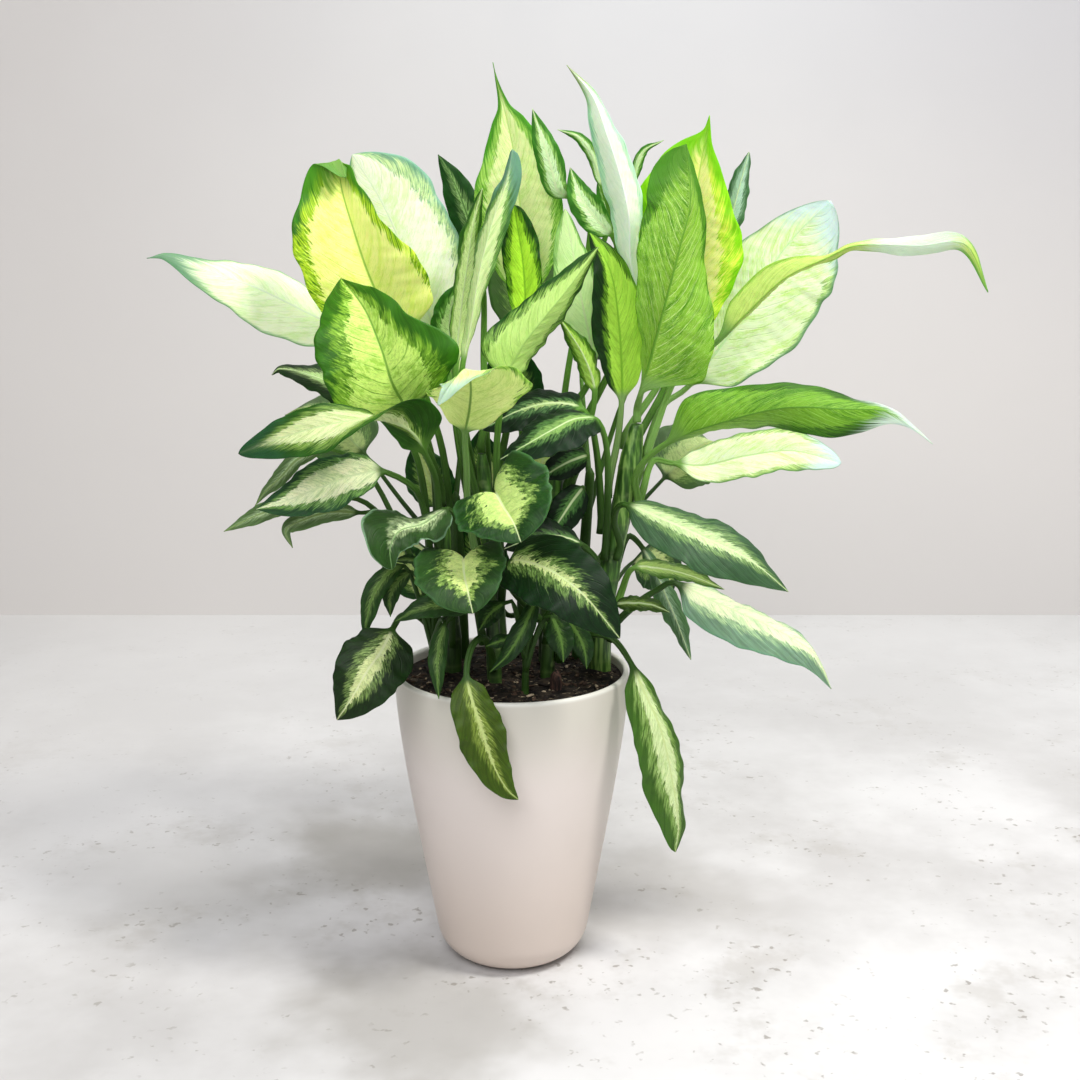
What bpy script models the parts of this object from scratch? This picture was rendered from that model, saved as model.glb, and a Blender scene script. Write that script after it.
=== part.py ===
"""A dumb cane in a tapered pot: pot, soil, bark chip, canes, leaves and young shoots.

The origin is the middle of the pot's flat underside, +Z up, the front of the plant towards -Y.
Lengths are in millimetres here and become metres as each mesh is made.

Leaves are placed as a florist would describe them from the front: every point is written as
(across, up, depth). Across and up are where the point lines up on the pot's own mid plane for an eye
at EYE, and depth is how far behind that plane it really lies. sighted() turns that into x, y, z.
"""
import math

import bmesh
import bpy
import numpy as np
from mathutils import Vector

MM = 0.001
EYE = np.array([24.0, -1200.0, 626.0])
GAP = 0.35

POT_HEIGHT = 258.0
POT_RIM_RADIUS = 100.0
POT_TAPER = 0.182
POT_SHOULDER = 47.8
POT_FOOT_FILLET = 24.0
POT_WALL = 5.0
POT_LIP = 1.2
POT_FLOOR = 9.0
POT_FLOOR_CORNER = 20.0
POT_CORNER_INSET = 8.0
POT_SIDES = 40

SOIL_LEVEL = 249.0
SOIL_MOUND = 5.0
HOLE_DEPTH = 26.0
CANE_SIDES = 10
BARK_PLACE = (37.0, -42.0)
BARK_RADIUS = 6.2

BLADE_THICKNESS = 0.8
RIB_KEEL = 1.6
STALK_RADIUS = 2.4

for old in list(bpy.data.objects):
    bpy.data.objects.remove(old, do_unlink=True)


def finish(name, colour, roughness):
    """A plain Principled material."""
    material = bpy.data.materials.new(name)
    material.use_nodes = True
    shader = material.node_tree.nodes["Principled BSDF"]
    shader.inputs["Base Color"].default_value = (*colour, 1.0)
    shader.inputs["Roughness"].default_value = roughness
    shader.inputs["Metallic"].default_value = 0.0
    return material


GLAZE = finish("pot_glaze", (0.74, 0.70, 0.64), 0.45)
SOIL = finish("potting_mix", (0.022, 0.016, 0.012), 0.95)
BARK = finish("bark", (0.16, 0.07, 0.05), 0.85)
CANE = finish("cane_skin", (0.16, 0.30, 0.07), 0.5)
BRIGHT = finish("leaf_bright", (0.50, 0.74, 0.14), 0.42)
PALE = finish("leaf_pale", (0.66, 0.84, 0.58), 0.5)
DARK = finish("leaf_dark", (0.05, 0.17, 0.07), 0.4)
OLIVE = finish("leaf_olive", (0.20, 0.36, 0.06), 0.45)


def sighted(across, up, depth):
    """The point at this depth that lines up with (across, up) of the mid plane, seen from EYE."""
    on_plane = np.array([across, 0.0, up])
    return EYE + (on_plane - EYE) * (1.0 - depth / EYE[1])


def smooth_curve(points, knots, where):
    """Cubic pieces through the points, each slope taken from the neighbours on both sides."""
    points = np.asarray(points, float)
    knots = np.asarray(knots, float)
    slopes = np.empty_like(points)
    slopes[1:-1] = (points[2:] - points[:-2]) / (knots[2:] - knots[:-2])[:, None]
    slopes[0] = (points[1] - points[0]) / (knots[1] - knots[0])
    slopes[-1] = (points[-1] - points[-2]) / (knots[-1] - knots[-2])
    where = np.atleast_1d(np.asarray(where, float))
    piece = np.clip(np.searchsorted(knots, where, side="right") - 1, 0, len(knots) - 2)
    span = (knots[piece + 1] - knots[piece])[:, None]
    t = (where - knots[piece])[:, None] / span
    return ((2 * t**3 - 3 * t**2 + 1) * points[piece] + (t**3 - 2 * t**2 + t) * span * slopes[piece]
            + (3 * t**2 - 2 * t**3) * points[piece + 1] + (t**3 - t**2) * span * slopes[piece + 1])


def smooth_step(t):
    """0 to 1 with level ends."""
    t = np.clip(t, 0, 1)
    return t * t * (3 - 2 * t)


def unit(vectors):
    """Each row at length one."""
    length = np.linalg.norm(vectors, axis=-1, keepdims=True)
    return vectors / np.maximum(length, 1e-9)


def closed_mesh(name, rings, quads_alike, material):
    """One closed solid lofted through rings of equal size, with flat strips across both ends."""
    mesh = bmesh.new()
    rows = [[mesh.verts.new(Vector(point * MM)) for point in ring] for ring in rings]
    count = len(rows[0])
    half = count // 2
    for low, high in zip(rows, rows[1:]):
        for k in range(count):
            a, b, c, d = low[k], low[(k + 1) % count], high[(k + 1) % count], high[k]
            if quads_alike and k >= half:
                mesh.faces.new((a, b, d))
                mesh.faces.new((b, c, d))
            else:
                mesh.faces.new((a, b, c))
                mesh.faces.new((a, c, d))
    for row, flip in ((rows[0], True), (rows[-1], False)):
        for k in range(half - 1):
            strip = [row[k], row[k + 1], row[count - 2 - k], row[count - 1 - k]]
            for face in (strip[:3], [strip[0], strip[2], strip[3]]):
                mesh.faces.new(face[::-1] if flip else face)
    if mesh.calc_volume(signed=True) < 0:
        bmesh.ops.reverse_faces(mesh, faces=mesh.faces)
    data = bpy.data.meshes.new(name)
    mesh.to_mesh(data)
    mesh.free()
    body = bpy.data.objects.new(name, data)
    bpy.context.collection.objects.link(body)
    data.materials.append(material)
    data.shade_smooth()
    data.set_sharp_from_angle(angle=math.radians(40))
    return body


def pot_outer_radius(z):
    """The wall runs nearly upright under the rim, then tapers evenly down to the foot."""
    drop = POT_HEIGHT - z
    straight = POT_RIM_RADIUS - POT_TAPER * (drop - POT_SHOULDER * (1 - math.exp(-drop / POT_SHOULDER)))
    if z >= POT_FOOT_FILLET:
        return straight
    return straight - POT_FOOT_FILLET + math.sqrt(POT_FOOT_FILLET**2 - (POT_FOOT_FILLET - z) ** 2)


def turned(name, profile, sides, material):
    """A closed profile of (radius, z) spun round the upright axis, with both ends on the axis."""
    mesh = bmesh.new()
    chain = [mesh.verts.new((radius * MM, 0, z * MM)) for radius, z in profile]
    edges = [mesh.edges.new(pair) for pair in zip(chain, chain[1:])]
    bmesh.ops.spin(mesh, geom=chain + edges, cent=(0, 0, 0), axis=(0, 0, 1),
                   angle=2 * math.pi, steps=sides, use_merge=True)
    bmesh.ops.remove_doubles(mesh, verts=mesh.verts, dist=0.00001)
    bmesh.ops.recalc_face_normals(mesh, faces=mesh.faces)
    if mesh.calc_volume(signed=True) < 0:
        bmesh.ops.reverse_faces(mesh, faces=mesh.faces)
    data = bpy.data.meshes.new(name)
    mesh.to_mesh(data)
    mesh.free()
    body = bpy.data.objects.new(name, data)
    bpy.context.collection.objects.link(body)
    data.materials.append(material)
    data.shade_smooth()
    data.set_sharp_from_angle(angle=math.radians(35))
    return body


def make_pot():
    """Thin tapered bowl: flat underside, rounded foot edge, thin lip and a hollow for the soil."""
    lift = [POT_FOOT_FILLET * (1 - math.cos(math.radians(a))) for a in (0, 30, 60, 90)]
    outer = [(pot_outer_radius(max(z, 0.001)), z) for z in lift]
    outer += [(pot_outer_radius(z), z) for z in (110, 175, 215, 238, POT_HEIGHT - POT_LIP)]
    rim = [(POT_RIM_RADIUS - POT_LIP, POT_HEIGHT), (POT_RIM_RADIUS - POT_WALL + POT_LIP, POT_HEIGHT)]
    inner = [(pot_outer_radius(z) - POT_WALL, z) for z in (POT_HEIGHT - POT_LIP, 150, 60, POT_FLOOR_CORNER)]
    floor = [(pot_outer_radius(POT_FLOOR_CORNER) - POT_WALL - POT_CORNER_INSET, POT_FLOOR), (0, POT_FLOOR)]
    return turned("pot", [(0, 0)] + outer + rim + inner + floor, POT_SIDES, GLAZE)


def soil_height(x, y):
    """A low mound with shallow lumps."""
    edge = math.hypot(x, y) / POT_RIM_RADIUS
    lumps = 1.3 * math.sin(x / 9.0 + 1.0) * math.cos(y / 11.0) + 0.8 * math.sin((x + y) / 5.5)
    return SOIL_LEVEL + SOIL_MOUND * (1 - edge**2) + lumps * (1 - edge**4)


def make_soil(holes):
    """A plug of potting mix with a lumpy top and a plain round hole for each stem."""
    steps = (94, 74, 48, 22, 0)
    corner = pot_outer_radius(POT_FLOOR_CORNER) - POT_WALL - GAP
    side = [(0, POT_FLOOR + GAP), (corner - POT_CORNER_INSET, POT_FLOOR + GAP)]
    side += [(pot_outer_radius(z) - POT_WALL - GAP, z) for z in (POT_FLOOR_CORNER, 60, 150)]
    top = [(radius, SOIL_LEVEL) for radius in steps]
    body = turned("soil", side + top, POT_SIDES, SOIL)
    for vertex in body.data.vertices:
        if vertex.co.z > (SOIL_LEVEL - 1) * MM:
            vertex.co.z = soil_height(vertex.co.x / MM, vertex.co.y / MM) * MM
    cutters = bpy.data.collections.new("stem_holes")
    for x, y, radius in holes:
        mesh = bmesh.new()
        bmesh.ops.create_cone(mesh, cap_ends=True, segments=CANE_SIDES, radius1=radius * MM,
                              radius2=radius * MM, depth=2 * HOLE_DEPTH * MM)
        bmesh.ops.translate(mesh, verts=mesh.verts, vec=Vector((x, y, SOIL_LEVEL)) * MM)
        data = bpy.data.meshes.new("stem_hole")
        mesh.to_mesh(data)
        mesh.free()
        cutters.objects.link(bpy.data.objects.new("stem_hole", data))
    cut = body.modifiers.new("stem_holes", "BOOLEAN")
    cut.operation = "DIFFERENCE"
    cut.operand_type = "COLLECTION"
    cut.collection = cutters
    cut.solver = "EXACT"
    apply_and_clear(body, cutters)
    return body


def apply_and_clear(body, collection):
    """Keep the evaluated mesh of a body with a Boolean, and remove what it was cut or joined with."""
    graph = bpy.context.evaluated_depsgraph_get()
    result = bpy.data.meshes.new_from_object(body.evaluated_get(graph))
    body.modifiers.clear()
    body.data = result
    for used in list(collection.objects):
        bpy.data.objects.remove(used, do_unlink=True)
    bpy.data.collections.remove(collection)


def make_bark():
    """A split stub of bark that stands a little out of the mix, in a hole of its own."""
    mesh = bmesh.new()
    bmesh.ops.create_cone(mesh, cap_ends=True, segments=7, radius1=BARK_RADIUS * MM,
                          radius2=0.75 * BARK_RADIUS * MM, depth=30 * MM)
    bmesh.ops.triangulate(mesh, faces=mesh.faces)
    data = bpy.data.meshes.new("bark_chip")
    mesh.to_mesh(data)
    mesh.free()
    body = bpy.data.objects.new("bark_chip", data)
    bpy.context.collection.objects.link(body)
    body.location = Vector((*BARK_PLACE, SOIL_LEVEL + 2)) * MM
    data.materials.append(BARK)
    return body


# Each cane: where it stands in the soil (x, y), its radius, and its axis above the soil as x, y, z.
CANES = {
    "cane_right": (11.0, [(75, 12, 290), (84, 12, 350), (96, 12, 410), (105, 13, 466)]),
    "cane_left": (8.0, [(-50, -4, 290), (-54, -4, 330), (-57, -3, 370), (-58, -2, 398)]),
    "cane_centre": (8.0, [(-12, 14, 300), (-17, 15, 350), (-22, 16, 400), (-25, 17, 440)]),
    "cane_middle": (8.0, [(30, 26, 300), (34, 27, 360), (38, 28, 420), (41, 29, 460)]),
    "cane_front": (7.0, [(-14, -34, 270), (-15, -36, 300), (-16, -38, 335)]),
    "cane_front_right": (7.0, [(30, -20, 270), (33, -22, 300), (36, -23, 330)]),
}


def cane_sections(name):
    """Heights, centres and radii of a cane's rings: slightly knuckled, and thinner towards the top."""
    radius, points = CANES[name]
    foot = (points[0][0], points[0][1], SOIL_LEVEL - HOLE_DEPTH + 2)
    top = points[-1][2]
    heights = [foot[2], SOIL_LEVEL + 12]
    while heights[-1] + 30 < top:
        heights.append(heights[-1] + 24)
    heights.append(top)
    x, y, z = zip(foot, *points)
    centres = np.stack([np.interp(heights, z, x), np.interp(heights, z, y), heights], 1)
    taper = 1.0 - 0.12 * (np.array(heights) - foot[2]) / (top - foot[2])
    return np.array(heights), centres, radius * (taper - 0.06 * (np.arange(len(heights)) % 2))


def make_cane(name):
    """An upright stem that stands in a hole in the soil."""
    angles = np.radians(90 + np.arange(CANE_SIDES) * 360 / CANE_SIDES)
    around = np.stack([np.cos(angles), np.sin(angles), 0 * angles], 1)
    rings = [centre + girth * around for _, centre, girth in zip(*cane_sections(name))]
    return closed_mesh(name, rings, False, CANE)


def cane_point(name, height, angle, clear):
    """A point this far out from a cane's flat-sided skin, at a height and an angle in degrees."""
    heights, centres, girths = cane_sections(name)
    centre = np.array([np.interp(height, heights, centres[:, k]) for k in range(3)])
    side = 360 / CANE_SIDES
    off_middle = (angle - 90) % side - side / 2
    skin = math.cos(math.radians(side / 2)) / math.cos(math.radians(off_middle))
    reach = np.interp(height, heights, girths) * skin + clear
    turn = math.radians(angle)
    return centre + reach * np.array([math.cos(turn), math.sin(turn), 0.0])


def side_values(side, where):
    """Width and depth of a margin along the blade: one pair, or (u, width, depth) at several places."""
    if not isinstance(side[0], tuple):
        side = [(0.0, *side), (1.0, *side)]
    table = np.array(side, float)
    if len(table) > 2:
        return smooth_curve(table[:, 1:], table[:, 0], where)
    return np.stack([np.interp(where, table[:, 0], table[:, 1]),
                     np.interp(where, table[:, 0], table[:, 2])], 1)


def leaf_rings(start, stalk, rib, left, right, under=False, peak=0.42, full=1.7, open_base=0.0,
               lobes=(0, 0), sinus=0.5, join=0.13, ripple=1.5, waves=1.6, crown=0.06, radius=STALK_RADIUS,
               foot_radius=None, anchor=0.35, ribs=5, blade_steps=8, stalk_steps=3):
    """Cross-sections of one leaf, from the foot of its stalk to the tip of its blade.

    The stalk and the midrib are one smooth curve. Each margin stands off the midrib by a width across
    the view and a depth away from the eye, times peak-shaped widths u^a (1-u)^b along the blade.
    The upper face looks at the eye, or away from it if under is set. Margins ripple, and each half
    arches a little between midrib and margin. Lobes are swept back beside the stalk, and the stalk
    has become blade at join along it.
    """
    path = [np.asarray(point, float) for point in start]
    path += [sighted(*point) for point in stalk]
    base = len(path)
    path += [sighted(*point) for point in rib]
    path = np.array(path)
    knots = np.concatenate([[0], np.cumsum(np.linalg.norm(np.diff(path, axis=0), axis=1))])
    blade = knots[-1] - knots[base]
    stations = np.array([0, .05, .14, .27, .42, .58, .74, .89, 1.0]) if blade_steps == 8 else \
        np.linspace(0, 1, blade_steps + 1)
    along_stalk = knots[base] * np.linspace(0, 1, stalk_steps + 1)[:-1]
    where = np.concatenate([along_stalk, knots[base] + blade * stations])
    u = np.clip((where - knots[base]) / blade, 0, 1)
    middle = smooth_curve(path, knots, where)
    step = 0.004 * knots[-1]
    tangent = unit(smooth_curve(path, knots, np.minimum(where + step, knots[-1]))
                   - smooth_curve(path, knots, np.maximum(where - step, 0)))

    across = np.zeros_like(middle)
    seen = int(np.argmin(np.abs(where - knots[base] - anchor * blade)))
    across[seen] = unit(np.cross(tangent[seen], middle[seen] - EYE))
    for order in (range(seen + 1, len(where)), range(seen - 1, -1, -1)):
        for i in order:
            near = across[i - 1] if i > seen else across[i + 1]
            across[i] = unit(near - np.dot(near, tangent[i]) * tangent[i])
    away = np.cross(across, tangent)
    scale = (1.0 - middle[:, 1] / EYE[1])[:, None]

    shift = (u + open_base) / (1 + open_base)
    low, high = full * peak, full * (1 - peak)
    shape = shift**low * (1 - shift) ** high / (peak**low * (1 - peak) ** high)
    shape = np.maximum(shape, 0.0)[:, None]
    left_side = side_values(left, u)
    right_side = side_values(right, u)
    to_left = shape * scale * (left_side[:, :1] * across + left_side[:, 1:] * away)
    to_right = shape * scale * (-right_side[:, :1] * across + right_side[:, 1:] * away)
    least = 0.7
    short = np.linalg.norm(to_left, axis=1, keepdims=True) < least
    to_left = np.where(short, across * least, to_left)
    short = np.linalg.norm(to_right, axis=1, keepdims=True) < least
    to_right = np.where(short, -across * least, to_right)
    facing = -1.0 if under else 1.0
    left_normal = facing * unit(np.cross(tangent, to_left))
    right_normal = facing * unit(np.cross(to_right, tangent))
    rib_normal = unit(left_normal + right_normal)
    lateral = facing * np.cross(rib_normal, tangent)

    spread = smooth_step(u / join)[:, None]
    foot_radius = foot_radius or radius * 1.6
    girth = np.interp(where, [0, knots[base], knots[-1]], [foot_radius, radius, radius])[:, None]
    wave_left = ripple * np.sin(2 * np.pi * waves * u + 0.6)[:, None] * shape
    wave_right = ripple * np.sin(2 * np.pi * waves * u + 2.4)[:, None] * shape
    sweep = np.clip(1 - u / 0.55, 0, 1)[:, None] ** 2
    positions = (1, .5, 0, -.5, -1) if ribs == 5 else (1, 0, -1)
    angles = (18, 54, 90, 126, 162) if ribs == 5 else (30, 90, 150)
    top, bottom = [], []
    for s, angle in zip(positions, angles):
        reach = to_left if s >= 0 else to_right
        normal = rib_normal if s == 0 else (left_normal if s > 0 else right_normal)
        wave = (wave_left if s > 0 else wave_right) * abs(s) ** 1.5
        arch = crown * 4 * abs(s) * (1 - abs(s)) * np.linalg.norm(reach, axis=1, keepdims=True)
        back = -tangent * sweep * (lobes[0] if s > 0 else lobes[1]) * abs(s) ** sinus
        flat = abs(s) * reach + back + normal * (wave + arch)
        keel = RIB_KEEL * (1 - 0.8 * u[:, None]) if s == 0 else 0.0
        turn = math.radians(angle)
        upper = girth * (math.cos(turn) * lateral + math.sin(turn) * rib_normal)
        lower = girth * (math.cos(turn) * lateral - math.sin(turn) * rib_normal)
        half = normal * BLADE_THICKNESS / 2
        top.append(middle + (1 - spread) * upper + spread * (flat + half))
        bottom.append(middle + (1 - spread) * lower + spread * (flat - half - normal * keel))
    return np.stack(top + bottom[::-1], 1)


def foot_on(cane, foot, radius):
    """Where a stalk starts: beside its cane at (height, angle), or on the cane's top where foot is None."""
    if foot is None:
        top = np.array(CANES[cane][1][-1], float)
        return [top + (0, 0, GAP), top + (0, 0, 12)]
    height, angle = foot
    return [cane_point(cane, height, angle, radius + GAP), cane_point(cane, height + 13, angle, radius + 2)]


def leaf(name, cane, foot, material, stalk, rib, left, right, **shape):
    """One leaf as one solid, its stalk's foot against its cane."""
    foot_radius = shape.pop("foot_radius", 3.6)
    start = foot_on(cane, foot, foot_radius)
    rings = leaf_rings(start, stalk, rib, left, right, foot_radius=foot_radius, **shape)
    return closed_mesh(name, rings, True, material)


def shoot(name, stem, stem_radius, leaves, material, blade_steps=6):
    """A short stem with its small leaves, fused into one body. The stem is a list of real x, y, z."""
    path = np.array(stem, float)
    knots = np.concatenate([[0], np.cumsum(np.linalg.norm(np.diff(path, axis=0), axis=1))])
    where = np.linspace(0, knots[-1], 2 * len(path) - 1)
    middle = smooth_curve(path, knots, where)
    tangent = unit(np.gradient(middle, axis=0))
    side = unit(np.cross(tangent, np.array([0.0, 1.0, 0.0])))
    other = np.cross(tangent, side)
    rings = []
    for i in range(len(where)):
        girth = stem_radius * (1 - 0.3 * i / len(where))
        rings.append([middle[i] + girth * (math.cos(a) * side[i] + math.sin(a) * other[i])
                      for a in np.radians(np.arange(6) * 60)])
    body = closed_mesh(name, rings, False, material)
    parts = bpy.data.collections.new(name + "_leaves")
    for number, (start, stalk, rib, left, right, options) in enumerate(leaves):
        options = {"ribs": 3, "blade_steps": blade_steps, "stalk_steps": 1, "radius": 1.7, **options}
        rings = leaf_rings([start], stalk, rib, left, right, **options)
        piece = closed_mesh(f"{name}_{number}", rings, True, material)
        bpy.context.collection.objects.unlink(piece)
        parts.objects.link(piece)
    join = body.modifiers.new("leaves", "BOOLEAN")
    join.operation = "UNION"
    join.operand_type = "COLLECTION"
    join.collection = parts
    join.solver = "MANIFOLD"
    apply_and_clear(body, parts)
    return body


def make_leaves():
    """Every large leaf, from the left of the plant to the right."""
    leaf("leaf_01_far_left", "cane_left", (340, 120), PALE,
         stalk=[(-66, 440, 14), (-88, 500, 24)],
         rib=[(-115, 532, 28), (-164, 557, 30), (-207, 578, 28), (-247, 592, 24), (-278, 603, 20),
              (-293, 601, 18)],
         left=[(0, 14, -10), (.25, 27, -10), (1, 34, -10)], right=(20, 25), peak=.36, full=2.1)
    leaf("leaf_02_left_upright", "cane_left", (352, 60), BRIGHT,
         stalk=[(-56, 440, 12), (-70, 490, 16)],
         rib=[(-86, 530, 14), (-103, 562, 8), (-115, 590, 4), (-126, 625, 4), (-134, 655, 8),
              (-136, 678, 2), (-131, 664, -9)],
         left=[(0, 42, -6), (.35, 50, -10), (.6, 50, -12), (.8, 40, -10), (1, 28, -6)],
         right=[(0, 62, -10), (.3, 47, -14), (.6, 24, -14), (1, 10, -8)], peak=.48, full=1.15)
    leaf("leaf_03_left_pale", "cane_centre", (395, 130), PALE,
         stalk=[(-40, 470, 36)],
         rib=[(-58, 530, 50), (-74, 580, 50), (-90, 618, 50), (-105, 650, 50), (-125, 682, 48)],
         left=(34, 8), right=[(0, 40, 6), (.6, 46, 6), (.85, 60, 4), (1, 70, 4)],
         peak=.48, full=1.5)
    leaf("leaf_04_left_front", "cane_left", None, BRIGHT,
         stalk=[(-64, 432, -16)],
         rib=[(-84, 476, -42), (-97, 500, -58), (-105, 527, -60), (-118, 560, -48), (-137, 585, -20)],
         left=(53, -6), right=[(0, 50, -12), (.2, 60, -14), (.36, 58, -14), (.55, 32, -14), (1, 12, -4)],
         peak=.44, full=1.5, open_base=.04)
    leaf("leaf_05_left_low_back", "cane_left", (330, 170), DARK,
         stalk=[(-76, 430, -8)],
         rib=[(-95, 470, -10), (-130, 493, -12), (-165, 507, -14), (-189, 512, -14), (-196, 507, -15)],
         left=(14, -20), right=(12, 24), peak=.45, ribs=3)
    leaf("leaf_06_left_arching", "cane_left", (335, 250), DARK,
         stalk=[(-62, 414, -28)],
         rib=[(-71, 441, -54), (-84, 462, -72), (-108, 471, -84), (-150, 466, -90), (-190, 455, -84),
              (-226, 442, -72)],
         left=[(0, -36, -12), (.2, -30, -22), (.4, 4, -28), (.6, 22, -16), (1, 18, -8)],
         right=[(0, -28, 4), (.2, -14, 8), (.4, 9, 10), (.6, 19, 8), (1, 20, 4)],
         peak=.5, full=1.3, open_base=.06, anchor=.6)
    leaf("leaf_07_left_lower", "cane_left", (296, 190), DARK,
         stalk=[(-76, 405, -26)],
         rib=[(-103, 426, -40), (-130, 424, -46), (-160, 413, -46), (-188, 402, -44), (-213, 395, -42)],
         left=(21, -12), right=(22, 14), peak=.42, full=1.7)
    leaf("leaf_12_left_drooping", "cane_left", (280, 275), DARK,
         stalk=[(-48, 384, -40)],
         rib=[(-53, 395, -54), (-75, 382, -76), (-94, 376, -92), (-102, 362, -104), (-101, 343, -108)],
         left=[(0, 12, -18), (.3, 14, -20), (.6, 15, -14), (1, 8, -4)],
         right=[(0, 5, 22), (.3, 7, 26), (.55, 22, 20), (.75, 34, 8), (1, 22, 0)],
         peak=.5, full=1.1, ripple=3.0, waves=2.2)
    leaf("leaf_13_cupped_centre", "cane_front", (312, 120), BRIGHT,
         stalk=[(-36, 392, -46), (-37, 430, -56)],
         rib=[(-38, 457, -62), (-34, 480, -74), (-33, 500, -88), (-37, 511, -104), (-48, 500, -122),
              (-60, 482, -128)],
         left=[(0, 20, -6), (.22, 24, -8), (.5, 34, -14), (1, 20, -4)],
         right=[(0, 20, -8), (.22, 27, -8), (.34, 37, -6), (.46, 52, 0), (.62, 38, 0), (1, 14, -4)],
         peak=.42, full=1.3, anchor=.3)
    leaf("leaf_14_heart_upper", "cane_front", None, DARK,
         stalk=[(-13, 393, -66)],
         rib=[(-13, 408, -86), (-6, 396, -104), (2, 383, -121), (8, 367, -133)],
         left=[(0, 30, -20), (.3, 44, -18), (.6, 50, -14), (1, 58, -12)],
         right=[(0, 28, -4), (.3, 42, -6), (1, 46, -6)],
         peak=.34, full=1.0, open_base=.12, lobes=(26, 16), sinus=.3, join=.06, anchor=1.0)
    leaf("leaf_15_heart_lower", "cane_front", (290, 215), DARK,
         stalk=[(-34, 336, -64)],
         rib=[(-40, 352, -86), (-40, 340, -106), (-37, 324, -124), (-33, 305, -136)],
         left=[(0, 29, -8), (.3, 36, -10), (.6, 40, -10), (1, 44, -10)],
         right=[(0, 29, -8), (.3, 40, -12), (.6, 48, -12), (1, 54, -12)],
         peak=.34, full=1.0, open_base=.12, lobes=(22, 22), sinus=.3, join=.06, anchor=.5)
    leaf("leaf_16_front_right", "cane_front_right", (288, 250), DARK,
         stalk=[(-2, 330, -54)],
         rib=[(-1, 350, -70), (20, 348, -88), (40, 338, -108), (62, 320, -122), (92, 283, -128)],
         left=(31, 8), right=(33, -10), peak=.42, full=1.4, open_base=.08, lobes=(8, 8), join=.08)
    leaf("leaf_17_dark_upper", "cane_right", (372, 185), DARK,
         stalk=[(70, 450, 4)],
         rib=[(60, 478, -8), (36, 484, -2), (8, 478, -4), (-24, 462, -12)],
         left=(20, -18), right=(12, 16), peak=.45, full=1.4, open_base=.04, ribs=3)
    leaf("leaf_18_dark_lower", "cane_right", (352, 240), DARK,
         stalk=[(80, 440, -22)],
         rib=[(72, 469, -30), (54, 471, -42), (35, 462, -52), (14, 450, -58), (-9, 437, -60)],
         left=(21, -18), right=(15, 24), peak=.42, full=1.4, open_base=.05)
    leaf("leaf_19_dark_inner", "cane_right", (318, 200), DARK,
         stalk=[(72, 350, -26)],
         rib=[(60, 364, -36), (40, 372, -44), (18, 370, -50), (-6, 361, -54)],
         left=(14, -12), right=(14, 14), peak=.45, full=1.4, ribs=3)
    leaf("leaf_20_front_left_hanging", "cane_left", (272, 200), DARK,
         stalk=[(-78, 302, -22), (-93, 303, -48)],
         rib=[(-101, 292, -74), (-112, 271, -94), (-124, 254, -106), (-137, 231, -112), (-151, 210, -112)],
         left=(31, -4), right=(29, 6), peak=.42, full=1.5, open_base=.03)
    leaf("leaf_21_front_hanging", "cane_front", (268, 265), OLIVE,
         stalk=[(-24, 284, -66), (-34, 276, -82)],
         rib=[(-39, 252, -100), (-35, 230, -112), (-28, 207, -118), (-16, 168, -122), (-5, 147, -124),
              (5, 137, -125)],
         left=(19, 6), right=(22, -4), peak=.42, full=1.4, ripple=2.2, waves=2.4)
    leaf("leaf_22_right_hanging", "cane_front_right", (270, 330), OLIVE,
         stalk=[(62, 286, -44), (84, 284, -54)],
         rib=[(100, 264, -58), (115, 232, -62), (128, 202, -62), (138, 160, -60), (145, 112, -56),
              (143, 88, -54)],
         left=(11, 14), right=(26, -8), peak=.5, full=1.3, ripple=2.5, waves=2.2)
    leaf("leaf_29_right_front", "cane_right", (352, 285), DARK,
         stalk=[(86, 385, -16)],
         rib=[(93, 399, -34), (128, 386, -54), (165, 369, -66), (200, 352, -70), (234, 324, -66)],
         left=(17, 14), right=(28, -12), peak=.46, full=1.9, ripple=3.0, waves=2.0)
    leaf("leaf_31_right_narrow", "cane_right", (308, 20), BRIGHT,
         stalk=[],
         rib=[(102, 344, 12), (125, 344, 16), (150, 338, 16), (180, 326, 14)],
         left=(8, 9), right=(7, -8), peak=.4, stalk_steps=2, ribs=3)
    leaf("leaf_32_right_low", "cane_right", (280, 310), PALE,
         stalk=[(109, 316, -4), (124, 326, -8)],
         rib=[(136, 332, -12), (173, 315, -20), (217, 295, -24), (253, 274, -22), (266, 256, -18),
              (274, 238, -16)],
         left=(9, 26), right=(27, -8), peak=.36, full=1.5)
    leaf("leaf_33_right_drooping", "cane_right", (330, 60), DARK,
         stalk=[(98, 372, 34)],
         rib=[(107, 366, 36), (118, 348, 38), (130, 322, 38), (141, 296, 36), (153, 264, 34)],
         left=(9, 8), right=(9, 8), peak=.5, ribs=3)
    leaf("leaf_34_right_olive", "cane_right", (272, 225), OLIVE,
         stalk=[],
         rib=[(88, 312, -24), (105, 314, -32), (120, 312, -36), (134, 306, -38)],
         left=(7, 4), right=(7, -4), peak=.42, stalk_steps=2, ribs=3)
    leaf("leaf_35_right_pale", "cane_right", (394, -10), PALE,
         stalk=[(118, 436, 34)],
         rib=[(133, 434, 40), (160, 432, 44), (195, 440, 46), (234, 444, 46), (274, 434, 42)],
         left=(20, 10), right=(18, -14), peak=.5, full=1.2)
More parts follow.
